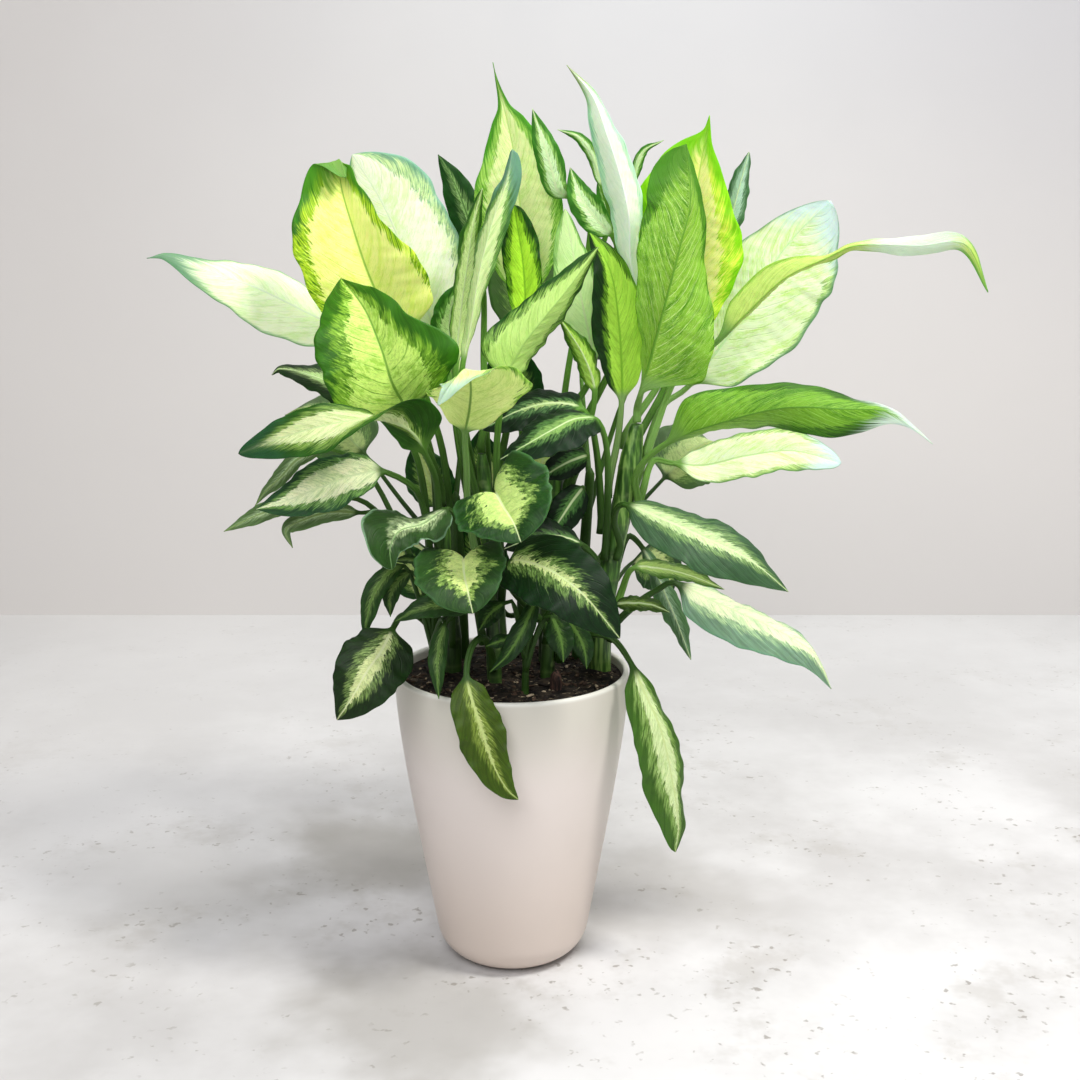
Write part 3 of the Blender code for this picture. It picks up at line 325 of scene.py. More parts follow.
wall_heights = np.concatenate([POT_FOOT_FILLET * (1 - np.cos(np.radians(np.arange(0, 91, 7.5)))),
                               np.linspace(27, POT_HEIGHT - POT_LIP, 60)])
lip = np.radians(np.arange(15, 180, 15))
lip_radius = POT_RIM_RADIUS - POT_LIP + POT_LIP * np.cos(lip)
lip_height = POT_HEIGHT - POT_LIP + POT_LIP * np.sin(lip)
inner_heights = np.linspace(POT_HEIGHT - POT_LIP, 20, 30)
pot_radii = np.concatenate([[4, 20, 38], pot_outer_radius(wall_heights), lip_radius,
                            pot_outer_radius(inner_heights) - POT_WALL, [40, 15]])
pot_heights = np.concatenate([[0, 0, 0], wall_heights, lip_height, inner_heights,
                              [POT_FLOOR, POT_FLOOR]])

glaze, glaze_shader, spot = finish("pot_glaze", 0.38, 0.45)
height = spot.parts()[2]
mottle = spot.noise(9.0, 4.0, 0.6)
tone = height.step(0.0, 0.2).between("#DACBC0", "#E4DAD4")
tone = tone.tint(height.step(0.17, 0.25), "#D3CFC3")
tone = tone.tint(mottle.step(0.42, 0.7) * 0.25, "#D2C6BE")
# Painted shade: a darker band round the foot, where the pot meets the floor.
tone = tone.tint(height.step(0.012, 0.0) * 0.4, "#BBA99C")
# Painted highlight: a lighter line round the top of the lip.
tone = tone.tint(height.step(0.2535, 0.2565) * 0.5, "#EFEFE8")
tone.into(glaze_shader, "Base Color")
(0.34 + mottle * 0.12).into(glaze_shader, "Roughness")
spot.noise(60.0, 2.0).emboss(glaze_shader, 0.12, 0.0006)
make_piece("pot_bowl", [(spun(pot_radii, pot_heights), {})], glaze, "pot")


# The potting mix: a dark plug of peat and bark fines that fills the pot to under its lip, with loose
# crumbs, bark chips and a few pale fibres on top, drawn up a little round each stem.
SOIL_LEVEL = 249.0
SOIL_MOUND = 5.0
HOLE_DEPTH = 26.0
STEM_PLACES = np.array([(75, 12, 11.0), (-50, -4, 8.0), (-12, 14, 8.0), (30, 26, 8.0), (-14, -34, 7.0),
                        (30, -20, 7.0), (-62, -30, 4.0), (12, -62, 3.6), (-44, 44, 6.0), (58, 48, 6.0),
                        (8, 74, 5.5)])


def soil_height(x, y):
    """A low mound with shallow lumps, rough with finer ones, and raised against each stem."""
    edge = np.hypot(x, y) / POT_RIM_RADIUS
    lumps = 1.3 * np.sin(x / 9.0 + 1.0) * np.cos(y / 11.0) + 0.8 * np.sin((x + y) / 5.5)
    fine = 0.7 * np.sin(x / 2.1 + 3 * np.sin(y / 4.7)) * np.cos(y / 1.9 + 2 * np.sin(x / 5.3))
    height = SOIL_LEVEL + SOIL_MOUND * (1 - edge**2) + (lumps + fine) * np.clip(1 - edge**4, 0, 1)
    for stem_x, stem_y, girth in STEM_PLACES:
        gap = np.maximum(np.hypot(x - stem_x, y - stem_y) - girth, 0)
        height = height + 1.6 * np.exp(-(gap / 4.0) ** 2)
    return height


soil_edge = pot_outer_radius(SOIL_LEVEL) - POT_WALL - 0.1
plug = spun([3, 40, 68, 79, soil_edge], [9.3, 9.3, 30, 130, SOIL_LEVEL - 6])
top = spun(np.linspace(soil_edge - 0.3, 1.0, 70), np.zeros(70))
top[..., 2] = soil_height(top[..., 0], top[..., 1])
plug[1:-1, :, :2] *= ((pot_outer_radius(plug[1:-1, :1, 2]) - POT_WALL - 0.4)
                      / np.hypot(plug[1:-1, :1, 0], plug[1:-1, :1, 1]))[..., None]

mix, mix_shader, spot = finish("potting_mix", 0.95, 0.2)
lumps = spot.noise(140.0, 4.0, 0.65)
tone = lumps.step(0.4, 0.66).between("#0E0B09", "#30281F")
fibres = spot.add("Mapping", {0: spot, 2: (0.0, 0.0, 0.6), 3: (1.0, 4.0, 1.0)}).noise(170.0, 2.0)
tone = tone.tint(fibres.step(0.64, 0.7) * 0.6, "#B0A084")
tone.into(mix_shader, "Base Color")
lumps.emboss(mix_shader, 0.8, 0.0012)
make_piece("soil_plug", [(np.concatenate([plug, top]), {})], mix, "soil")

CRUMB_COUNT = 420
CRUMB_REACH = 90
CRUMB_LIFT = 0.4
draw = np.random.default_rng(7)


def crumb(x, y, size, stretch):
    """A loose lump: an ellipsoid of 5 rings by 7 points, knocked out of true and turned at random."""
    across = np.linspace(0.12, np.pi - 0.12, 5)[:, None]
    around = np.linspace(0, 2 * np.pi, 7, endpoint=False)
    ball = np.stack([np.sin(across) * np.cos(around), np.sin(across) * np.sin(around),
                     np.cos(across) + 0 * around], -1)
    ball = ball * (1 + draw.uniform(-0.25, 0.25, ball.shape[:2]))[..., None] * size * stretch
    turn, tip = draw.uniform(0, 2 * np.pi), draw.uniform(-0.5, 0.5)
    spin = np.array([[np.cos(turn), -np.sin(turn), 0], [np.sin(turn), np.cos(turn), 0], [0, 0, 1]])
    lean = np.array([[1, 0, 0], [0, np.cos(tip), -np.sin(tip)], [0, np.sin(tip), np.cos(tip)]])
    return ball @ lean.T @ spin.T + (x, y, soil_height(x, y) + CRUMB_LIFT)


crumbs = []
for number in range(CRUMB_COUNT):
    far = CRUMB_REACH * math.sqrt(draw.uniform(0, 1))
    bearing = draw.uniform(0, 2 * np.pi)
    long_chip = number % 3 == 0
    stretch = np.array([draw.uniform(1.6, 2.6), 0.8, 0.45]) if long_chip else np.array([1.0, 0.9, 0.7])
    size = draw.uniform(1.2, 2.6) if long_chip else draw.uniform(0.8, 2.2)
    crumbs.append((crumb(far * math.cos(bearing), far * math.sin(bearing), size, stretch), {}))

chip, chip_shader, spot = finish("bark_fines", 0.9, 0.25)
kinds = spot.noise(55.0, 1.0)
tone = kinds.step(0.4, 0.6).between("#1C1511", "#46362A")
tone = tone.tint(spot.noise(90.0, 1.0).step(0.57, 0.64) * 0.8, "#A89880")
tone.into(chip_shader, "Base Color")
spot.noise(500.0, 3.0).emboss(chip_shader, 0.6, 0.0006)
make_piece("soil_crumbs", crumbs, chip, "soil")


# The bark chip: a split stub of reddish bark that stands out of the mix near the front. It is grooved
# along its grain, and its foot is pushed into the mix.
BARK_PLACE = (37.0, -42.0)
BARK_RADIUS = 6.2
rise = np.linspace(-14, 15, 24)[:, None]
round_about = np.linspace(0, 2 * np.pi, 40, endpoint=False)
ridges = 1 + 0.06 * np.sin(7 * round_about + 0.2 * rise) + 0.04 * np.sin(13 * round_about - 0.3 * rise)
girth = BARK_RADIUS * np.interp(rise, [-14, 8, 13, 15], [1.0, 0.84, 0.7, 0.35]) * ridges * 0.94
split_top = 1.2 * np.sin(2 * round_about) * (rise > 10)
stub = np.stack([BARK_PLACE[0] + girth * np.cos(round_about),
                 BARK_PLACE[1] + girth * np.sin(round_about),
                 SOIL_LEVEL + 2 + rise + split_top], -1)
bark, bark_shader, spot = finish("bark", 0.85, 0.3)
along = spot.stretched(1.0, 1.0, 0.18)
grain = along.noise(420.0, 4.0, 0.6)
tone = grain.step(0.38, 0.64).between("#1E1512", "#523A30")
tone.into(bark_shader, "Base Color")
grain.emboss(bark_shader, 0.9, 0.001)
make_piece("bark_stub", [(stub, {})], bark, "bark_chip")


# The canes: upright green stems, slightly knuckled and faintly ringed by the scars of fallen leaves.
# Each ends in a drawn-in top, where the stalks of the youngest leaves close round it.
GAP = 0.35
CANE_SIDES = 10
CANES = {
    "cane_right": (11.0, [(75, 12, 290), (84, 12, 350), (96, 12, 410), (105, 13, 466)]),
    "cane_left": (8.0, [(-50, -4, 290), (-54, -4, 330), (-57, -3, 370), (-58, -2, 398)]),
    "cane_centre": (8.0, [(-12, 14, 300), (-17, 15, 350), (-22, 16, 400), (-25, 17, 440)]),
    "cane_middle": (8.0, [(30, 26, 300), (34, 27, 360), (38, 28, 420), (41, 29, 460)]),
    "cane_front": (7.0, [(-14, -34, 270), (-15, -36, 300), (-16, -38, 335)]),
    "cane_front_right": (7.0, [(30, -20, 270), (33, -22, 300), (36, -23, 330)]),
}


def cane_sections(name):
    """Heights, centres and radii of a cane: slightly knuckled, and thinner towards the top."""
    radius, line = CANES[name]
    foot = (line[0][0], line[0][1], SOIL_LEVEL - HOLE_DEPTH + 2)
    top_height = line[-1][2]
    heights = [foot[2], SOIL_LEVEL + 12]
    while heights[-1] + 30 < top_height:
        heights.append(heights[-1] + 24)
    heights.append(top_height)
    x, y, z = zip(foot, *line)
    centres = np.stack([np.interp(heights, z, x), np.interp(heights, z, y), heights], 1)
    taper = 1.0 - 0.12 * (np.array(heights) - foot[2]) / (top_height - foot[2])
    return np.array(heights), centres, radius * (taper - 0.06 * (np.arange(len(heights)) % 2))


def cane_point(name, height, angle, clear):
    """A point this far out from a cane's skin, at a height and an angle in degrees."""
    heights, centres, girths = cane_sections(name)
    centre = np.array([np.interp(height, heights, centres[:, k]) for k in range(3)])
    side = 360 / CANE_SIDES
    off_middle = (angle - 90) % side - side / 2
    skin = math.cos(math.radians(side / 2)) / math.cos(math.radians(off_middle))
    reach = np.interp(height, heights, girths) * skin + clear
    turn = math.radians(angle)
    return centre + reach * np.array([math.cos(turn), math.sin(turn), 0.0])


def cane_rings(name):
    """Fine rings up a cane: the section radii, a faint scar at each section and a long drawn-in top."""
    heights, centres, girths = cane_sections(name)
    up = np.arange(heights[0], heights[-1], 1.5)
    line = np.stack([np.interp(up, heights, centres[:, k]) for k in range(3)], 1)
    scars = np.exp(-((up[:, None] - heights[1:-1]) / 1.3) ** 2).sum(1)
    girth = np.interp(up, heights, girths) - 0.25 + 0.2 * scars
    girth = girth * (0.45 + 0.55 * np.clip((heights[-1] - up) / 26.0, 0, 1) ** 0.6)
    angle = np.linspace(0, 2 * np.pi, 36, endpoint=False)
    around = np.stack([np.cos(angle), np.sin(angle), 0 * angle], 1)
    sheath = 1 + 0.02 * np.sin(3 * angle + up[:, None] / 30)
    return line[:, None] + (girth[:, None] * sheath)[..., None] * around, scars


cane_skin, cane_shader, spot = finish("cane_skin", 0.45, 0.45)
long_way = spot.stretched(1.0, 1.0, 0.1)
lines = long_way.noise(260.0, 3.0)
blotches = spot.noise(70.0, 2.0)
tone = lines.step(0.35, 0.68).between("#264A12", "#5A8A32")
# Painted shade: the canes darken below about 0.4 m, inside the plant; the thick right cane, out on the
# side, much less so.
inner = spot.parts()[0].step(0.075, 0.055) * 0.8 + 0.2
tone = tone.tint(spot.parts()[2].step(0.42, 0.26) * inner * 0.7, "#142A08")
tone = tone.tint((1.0 - inner) * lines.step(0.5, 0.62) * 0.7, "#8FAE5C")
tone = tone.tint(blotches.step(0.6, 0.7) * 0.25, "#A9C47A")
scar = spot.value("scar").parts()[0]
tone = tone.tint(scar * 0.1, "#9DAF6E")
tone.into(cane_shader, "Base Color")
lines.emboss(cane_shader, 0.35, 0.0006)
for cane_name in CANES:
    rings, scars = cane_rings(cane_name)
    ringed = np.repeat(np.repeat(scars[:, None, None], rings.shape[1], 1), 3, 2)
    make_piece(cane_name + "_stem", [(rings, {"scar": ringed})], cane_skin, cane_name)


# The leaves: thin blades with a channelled stalk in one piece, from the foot at the cane to the drip
# tip. The blade is cream or lime in the middle and green at the margin, and the border between the two
# is feathered along the side veins. Each leaf below is placed as it lines up from the eye.
BLADE_THICKNESS = 0.8
RIB_KEEL = 1.6
STALK_FOOT = 3.6
LANES = np.array([1, .95, .88, .78, .64, .5, .36, .24, .14, .07, .03])
LANES = np.concatenate([LANES, [0.0], -LANES[::-1]])


def sighted(across, up, depth):
    """The point at this depth behind the pot's mid plane that lines up with (across, up) on it."""
    return EYE + (np.array([across, 0.0, up]) - EYE) * (1.0 - depth / EYE[1])


def smooth_curve(points, knots, where):
    """Cubic pieces through the points, each slope taken from the neighbours on both sides."""
    points = np.asarray(points, float)
    knots = np.asarray(knots, float)
    slopes = np.empty_like(points)
    slopes[1:-1] = (points[2:] - points[:-2]) / (knots[2:] - knots[:-2])[:, None]
    slopes[0] = (points[1] - points[0]) / (knots[1] - knots[0])
    slopes[-1] = (points[-1] - points[-2]) / (knots[-1] - knots[-2])
    where = np.atleast_1d(np.asarray(where, float))
    piece = np.clip(np.searchsorted(knots, where, side="right") - 1, 0, len(knots) - 2)
    span = (knots[piece + 1] - knots[piece])[:, None]
    t = (where - knots[piece])[:, None] / span
    return ((2 * t**3 - 3 * t**2 + 1) * points[piece] + (t**3 - 2 * t**2 + t) * span * slopes[piece]
            + (3 * t**2 - 2 * t**3) * points[piece + 1] + (t**3 - t**2) * span * slopes[piece + 1])


def smooth_step(t):
    """0 to 1 with level ends: t^2 (3 - 2t)."""
    t = np.clip(t, 0, 1)
    return t * t * (3 - 2 * t)


def unit(vectors):
    """Each vector at length one."""
    return vectors / np.maximum(np.linalg.norm(vectors, axis=-1, keepdims=True), 1e-9)


def side_values(side, where):
    """Width and depth of a margin along the blade: one pair, or (u, width, depth) at several places."""
    if not isinstance(side[0], tuple):
        side = [(0.0, *side), (1.0, *side)]
    table = np.array(side, float)
    if len(table) > 2:
        return smooth_curve(table[:, 1:], table[:, 0], where)
    return np.stack([np.interp(where, table[:, 0], table[:, k]) for k in (1, 2)], 1)


def leaf_loft(start, stalk, rib, left, right, under=False, peak=0.42, full=1.7, open_base=0.0,
              lobes=(0, 0), sinus=0.5, join=0.13, ripple=1.5, waves=1.6, crown=0.06, radius=2.4,
              foot_radius=None, anchor=0.42, ruffle=1.2, scallop=0.025, quilt=0.42, seed=0,
              stations=84, stalk_stations=16, lanes=LANES):
    """Rings and point values of one leaf.

    Stalk and midrib are one smooth curve. The margins stand off it by widths across the view and
    depths away from the eye, times u^a (1-u)^b along the blade. On top of that the margins wave in
    outline (scallop, a share of the width) and in height (ripple and ruffle, in mm), each half arches,
    the midrib is a groove above and a keel below, and the blade swells between its side veins by quilt.
    The upper face looks at the eye, or away from it if under is set.
    """
    path = [np.asarray(point, float) for point in start] + [sighted(*point) for point in stalk]
    base = len(path)
    path = np.array(path + [sighted(*point) for point in rib])
    knots = np.concatenate([[0], np.cumsum(np.linalg.norm(np.diff(path, axis=0), axis=1))])
    blade = knots[-1] - knots[base]
    along_stalk = knots[base] * np.linspace(0, 1, stalk_stations + 1)[:-1]
    where = np.concatenate([along_stalk, knots[base] + blade * np.linspace(0, 1, stations)])
    u = np.clip((where - knots[base]) / blade, 0, 1)
    middle = smooth_curve(path, knots, where)
    step = 0.004 * knots[-1]
    tangent = unit(smooth_curve(path, knots, np.minimum(where + step, knots[-1]))
                   - smooth_curve(path, knots, np.maximum(where - step, 0)))

    across = np.zeros_like(middle)
    seen = int(np.argmin(np.abs(where - knots[base] - anchor * blade)))
    across[seen] = unit(np.cross(tangent[seen], middle[seen] - EYE))
    for order in (range(seen + 1, len(where)), range(seen - 1, -1, -1)):
        for i in order:
            near = across[i - 1] if i > seen else across[i + 1]
            across[i] = unit(near - np.dot(near, tangent[i]) * tangent[i])
    away = np.cross(across, tangent)
    scale = (1.0 - middle[:, 1] / EYE[1])[:, None]

    shift = (u + open_base) / (1 + open_base)
    low, high = full * peak, full * (1 - peak)
    shape = shift**low * (1 - shift) ** high / (peak**low * (1 - peak) ** high)
    shape = np.maximum(shape, 0.0)[:, None]
    margins = []
    for table, way in ((left, 1), (right, -1)):
        value = side_values(table, u)
        uneven = np.sin(2 * np.pi * 3.1 * u + seed + way) + 0.6 * np.sin(2 * np.pi * 7.3 * u + 2 * seed)
        reach = shape * scale * (way * value[:, :1] * across + value[:, 1:] * away)
        inland = smooth_step(u / 0.15) * smooth_step((1 - u) / 0.1)
        reach = reach * (1 + scallop * uneven * inland)[:, None]
        least = 0.7 - 0.35 * smooth_step((u[:, None] - 0.7) / 0.3)
        short = np.linalg.norm(reach, axis=1, keepdims=True) < least
        margins.append(np.where(short, way * across * least, reach))
    facing = -1.0 if under else 1.0
    left_normal = facing * unit(np.cross(tangent, margins[0]))
    right_normal = facing * unit(np.cross(margins[1], tangent))
    rib_normal = unit(left_normal + right_normal)
    lateral = facing * np.cross(rib_normal, tangent)

    s = lanes[None, :, None]
    side = np.abs(s)
    on_left = s >= 0
    reach = np.where(on_left, margins[0][:, None], margins[1][:, None])
    length = np.linalg.norm(reach, axis=2, keepdims=True)
    turn_in = smooth_step(side / 0.3)
    normal = unit((1 - turn_in) * rib_normal[:, None]
                  + turn_in * np.where(on_left, left_normal[:, None], right_normal[:, None]))
    uu, full_shape = u[:, None, None], shape[:, None]
    wave = np.sin(2 * np.pi * waves * uu + np.where(on_left, 0.6, 2.4)) * side**1.5
    frill = (np.sin(2 * np.pi * 4.3 * uu + np.where(on_left, 1.1, 4.0) + seed)
             + 0.5 * np.sin(2 * np.pi * 9.7 * uu + np.where(on_left, 0.3, 2.0) + 2 * seed)) * side**3
    arch = crown * 4 * side * (1 - side) * length
    vein = uu - 0.3 * side**1.3
    count = blade / 10.5
    swell = quilt * np.cos(2 * np.pi * count * vein) * smooth_step(side * 6) * (1 - side**4)
    sweep = np.clip(1 - uu / 0.55, 0, 1) ** 2 * np.where(on_left, lobes[0], lobes[1]) * side**sinus
    off_rib = side * length
    groove = -0.35 * np.exp(-(off_rib / 1.5) ** 2) * (1 - uu)
    lift = (ripple * wave + ruffle * frill + swell) * full_shape + arch + groove
    flat = side * reach - tangent[:, None] * sweep + normal * lift
    keel = RIB_KEEL * (1 - 0.8 * uu) * np.exp(-(off_rib / 2.2) ** 2)
    half = normal * BLADE_THICKNESS / 2 * (1 - 0.55 * side**3) * (1 - 0.4 * uu**6)

    foot_radius = foot_radius or radius * 1.6
    girth = np.interp(where, [0, knots[base], knots[-1]], [foot_radius, radius, radius])[:, None, None]
    spread = smooth_step(uu / join)
    turn = np.radians(90 - 84 * s)
    channel = 1 - 0.35 * np.exp(-(s / 0.3) ** 2)
    upper = girth * (np.cos(turn) * lateral[:, None] + np.sin(turn) * channel * rib_normal[:, None])
    lower = girth * (np.cos(turn) * lateral[:, None] - np.sin(turn) * rib_normal[:, None])
    top = middle[:, None] + (1 - spread) * upper + spread * (flat + half)
    bottom = middle[:, None] + (1 - spread) * lower + spread * (flat - half - normal * keel)

    rings = np.concatenate([top, bottom[:, ::-1]], 1)
    still = np.ones_like(off_rib)
    face = np.concatenate([uu * still, s * still, off_rib], 2)
    growth = np.concatenate([(1 - spread) * still, 0 * still, where[:, None, None] * 0.01 * still], 2)
    below = growth + (0, 1, 0)
    lines = np.concatenate([0.1 * blade * vein * still, 0.1 * off_rib,
                            np.sign(s) * still + 3.1 * seed], 2)
    return rings, {"blade": np.concatenate([face, face[:, ::-1]], 1),
                   "growth": np.concatenate([growth, below[:, ::-1]], 1),
                   "lines": np.concatenate([lines, lines[:, ::-1]], 1)}


def leaf_skin(name, heart, edge, flush=None, reach=(0.6, 0.5, 0.2), lean=0.0, feather=0.16, soft=0.03,
              veins=0.3, vein=None, rib="#D8E8B4", tip=None, tip_from=0.82, margin=None, band=None,
              band_at=(0.5, 0.8), mottle=0.45, rim=0.22, back=0.25, stalk="#6FA23E",
              stem_shade=0.9, gloss=0.5):
    """A leaf's finish. heart, flush and edge are its colours from the midrib out. reach is how far the
    heart goes towards the margin at the base, the middle and the tip, and lean shifts it to one side.
    Its border is jagged by feather along the side veins. The flush is streaked beyond the border by
    rim, and mottles the heart. lines holds the side vein's place and the way out along it, in cm.
    """
    material, shader, place = finish(name, gloss, 0.2)
    u, v, off_rib = place.value("blade").parts()
    stalk_share, under, _ = place.value("growth").parts()
    lines = place.value("lines")
    s = abs(v)
    flame = lines.stretched(1.7, 0.6, 3.7).noise(1.0, 4.0, 0.66)
    thread = lines.stretched(6.0, 1.5, 3.7).noise(1.0, 3.0, 0.6)
    speck = lines.stretched(5.0, 3.2, 5.1).noise(1.0, 3.0, 0.7)
    cloud = lines.stretched(0.75, 0.6, 2.3).noise(1.0, 3.0, 0.6)

    base, mid, end = reach
    limit = u.step(0.05, 0.5) * (mid - base) + u.step(0.5, 0.97) * (end - mid) + base
    ragged = (flame - 0.5) * (3.2 * feather) + (thread - 0.5) * (1.1 * feather)
    ragged = ragged + (speck - 0.5) * (1.8 * feather)
    limit = limit + v * lean + ragged
    cream = (limit - s).step(-soft, soft)
    warm = (limit + (cloud - 0.5) * 0.5 + rim - s).step(-0.12, 0.08)
    first, last = colour(heart), colour(edge)
    between = colour(flush) if flush else tuple(0.45 * a + 0.55 * b for a, b in zip(first, last))
    deep = tuple(0.55 * c for c in last[:3]) + (1.0,)
    tone = (flame.step(0.62, 0.36) * 0.7).between(last, deep)
    tone = tone.tint(warm * (thread * 0.5 + speck * 0.5).step(0.34, 0.60) * 0.9, between)
    tone = tone.tint(cream, first)
    patch = (flame * 0.35 + cloud * 0.35 + speck * 0.3).step(0.46, 0.60)
    tone = tone.tint(patch * cream * mottle, between)
    near = (limit - s).step(0.3, 0.0) * cream
    tone = tone.tint(speck.step(0.55, 0.66) * near * 0.6, between)
    stray = (s - limit).step(0.16, 0.0) * (1 - cream)
    tone = tone.tint(speck.step(0.57, 0.64) * stray * 0.7, first)

    vein_tone = colour(vein) if vein else last
    beat = lines.parts()[0]
    beat = beat.reckon("PINGPONG", beat * 0.95 + (cloud - 0.5) * 0.3, 0.5)
    line = beat.step(0.075, 0.0) * s.step(0.02, 0.1) * (1 - s.step(0.5, 0.95)) * u.step(0.02, 0.1)
    tone = tone.tint(line * (cream * 0.7 + 0.3) * thread.step(0.3, 0.6) * veins, vein_tone)
    hair = abs(thread - 0.5).step(0.035, 0.0) * (0.35 * cream + 0.1)
    tone = tone.tint(hair, vein_tone)
    midrib = ((1.0 - u) * 0.9 + 0.3 - off_rib).step(-0.4, 0.4)
    tone = tone.tint(midrib * 0.75, rib)
    if tip:
        outwards = u + s * 0.12 + (flame - 0.5) * 0.3
        tone = tone.tint(outwards.step(tip_from - 0.04, tip_from + 0.12) * 0.9, tip)
    if band:
        near_u = u + (flame - 0.5) * 0.25
        share = near_u.step(band_at[0] - 0.05, band_at[0] + 0.05)
        share = share * near_u.step(band_at[1] + 0.05, band_at[1] - 0.05)
        tone = tone.tint(share * 0.85, band)
    if margin:
        tone = tone.tint((s + (thread - 0.5) * 0.1).step(0.9, 0.99) * 0.8, margin)
    tone = tone.tint(under * back, "#8FB070")
    stem_tone = (thread.step(0.35, 0.65) * 0.5).between(stalk, "#4C7F2C")
    # Painted shade: the stalks darken below about 0.5 m, inside the plant, as much as stem_shade says.
    shade_side = place.parts()[2].step(0.54, 0.38)
    stem_tone = stem_tone.tint(shade_side * stem_shade, "#1F3A10")
    tone = tone.tint(stalk_share.step(0.0, 0.7), stem_tone)
    tone.into(shader, "Base Color")
    shader.inputs["Subsurface Weight"].default_value = 0.3
    shader.inputs["Subsurface Radius"].default_value = (0.5, 1.0, 0.2)
    shader.inputs["Subsurface Scale"].default_value = 0.002
    (thread * 0.2 + (gloss - 0.1)).into(shader, "Roughness")
    relief = line * -0.5 + midrib * 0.3 + thread * 0.5 + cloud * 0.6
    relief.emboss(shader, 0.6, 0.0009)
    return material


def foot_on(cane, foot, radius):
    """Where a stalk starts: beside its cane at (height, angle), or on the cane's top if foot is None."""
    if foot is None:
        top_point = np.array(CANES[cane][1][-1], float)
        return [top_point + (0, 0, GAP), top_point + (0, 0, 12)]
    height, angle = foot
    return [cane_point(cane, height, angle, radius + GAP),
            cane_point(cane, height + 13, angle, radius + 2)]


def leaf(name, cane, foot, slot, stalk, rib, left, right, look, **shape):
    """One leaf in place of its node, its stalk's foot against its cane."""
    start = foot_on(cane, foot, STALK_FOOT)
    seed = sum(map(ord, name)) % 7
    loft = leaf_loft(start, stalk, rib, left, right, foot_radius=STALK_FOOT, seed=seed, **shape)
    return make_piece(name + "_blade", [loft], leaf_skin(name + "_skin", **look), name)


# The leaves at the upper left: the far left one reaches straight out, the lime one stands up with its
# tip folded over, and the pale one leans behind it.
leaf("leaf_01_far_left", "cane_left", (340, 120), "leaf_pale",
     stalk=[(-66, 440, 14), (-88, 500, 24)],
     rib=[(-115, 532, 28), (-164, 557, 30), (-207, 578, 28), (-247, 592, 24), (-278, 603, 20),
          (-293, 601, 18)],
     left=[(0, 14, -10), (.25, 27, -10), (1, 34, -10)], right=(20, 25), peak=.36, full=2.1,
     look=dict(heart="#E6F5C8", flush="#C8E89A", edge="#9CC58E", reach=(1.1, 1.0, .6), veins=.4,
               vein="#F4FCEC", rib="#D4E2C8", tip="#5C8C6A", tip_from=.8, margin="#6E9C74", mottle=.8))
leaf("leaf_02_left_upright", "cane_left", (352, 60), "leaf_bright",
     stalk=[(-56, 440, 12), (-70, 490, 16)],
     rib=[(-86, 530, 14), (-103, 562, 8), (-115, 590, 4), (-126, 625, 4), (-134, 655, 8),
          (-136, 678, 2), (-131, 664, -9)],
     left=[(0, 42, -6), (.35, 50, -10), (.6, 50, -12), (.8, 40, -10), (1, 28, -6)],
     right=[(0, 62, -10), (.3, 47, -14), (.6, 24, -14), (1, 10, -8)], peak=.48, full=1.15,
     look=dict(heart="#F6FF96", flush="#CCF030", edge="#2F7404", reach=(1.05, .8, .38), veins=.15,
               vein="#C2E654", rib="#8CC634", tip="#4A8A1C", tip_from=.8))
leaf("leaf_03_left_pale", "cane_centre", (395, 130), "leaf_pale",
     stalk=[(-40, 470, 36)],
     rib=[(-58, 530, 50), (-74, 580, 50), (-90, 618, 50), (-105, 650, 50), (-125, 682, 48)],
     left=(34, 8), right=[(0, 40, 6), (.6, 46, 6), (.85, 60, 4), (1, 70, 4)], peak=.48, full=1.5,
     look=dict(heart="#F2F9E0", flush="#D4EDA4", edge="#6FA080", reach=(1.0, .8, .5), veins=.2,
               vein="#CBE4AE", rib="#D4E2C8", margin="#7FAE98", mottle=.7))
leaf("leaf_04_left_front", "cane_left", None, "leaf_bright",
     stalk=[(-64, 432, -16)],
     rib=[(-84, 476, -42), (-97, 500, -58), (-105, 527, -60), (-118, 560, -48), (-137, 585, -20)],
     left=(53, -6), right=[(0, 50, -12), (.2, 60, -14), (.36, 58, -14), (.55, 32, -14), (1, 12, -4)],
     peak=.44, full=1.5, open_base=.04,
     look=dict(heart="#D4F47C", flush="#8CBB36", edge="#37700F", reach=(.75, .45, .05), lean=.1,
               veins=.85, vein="#5F9A24", rib="#5C962A", mottle=.8))


# The lower leaves on the left: darker and smaller blades of the same kind, arching out and down in two
# tiers. Their stalks clasp the left cane at different heights.
leaf("leaf_05_left_low_back", "cane_left", (330, 170), "leaf_dark",
     stalk=[(-76, 430, -8)],
     rib=[(-95, 470, -10), (-130, 493, -12), (-165, 507, -14), (-189, 512, -14), (-196, 507, -15)],
     left=(14, -20), right=(12, 24), peak=.45,
     look=dict(heart="#B8D68C", edge="#12300A", reach=(.5, .35, .05)))
leaf("leaf_06_left_arching", "cane_left", (335, 250), "leaf_dark",
     stalk=[(-62, 414, -28)],
     rib=[(-71, 441, -54), (-84, 462, -72), (-108, 471, -84), (-150, 466, -90), (-190, 455, -84),
          (-226, 442, -72)],
     left=[(0, -36, -12), (.2, -30, -22), (.4, 4, -28), (.6, 22, -16), (1, 18, -8)],
     right=[(0, -28, 4), (.2, -14, 8), (.4, 9, 10), (.6, 19, 8), (1, 20, 4)], peak=.5, full=1.3,
     open_base=.06, anchor=.58,
     look=dict(heart="#DCE6AC", flush="#8FB052", edge="#2A5812", reach=(-.1, .62, .12), veins=.35,
               vein="#6E9450", rib="#C4D89C", tip="#24502F", back=0))
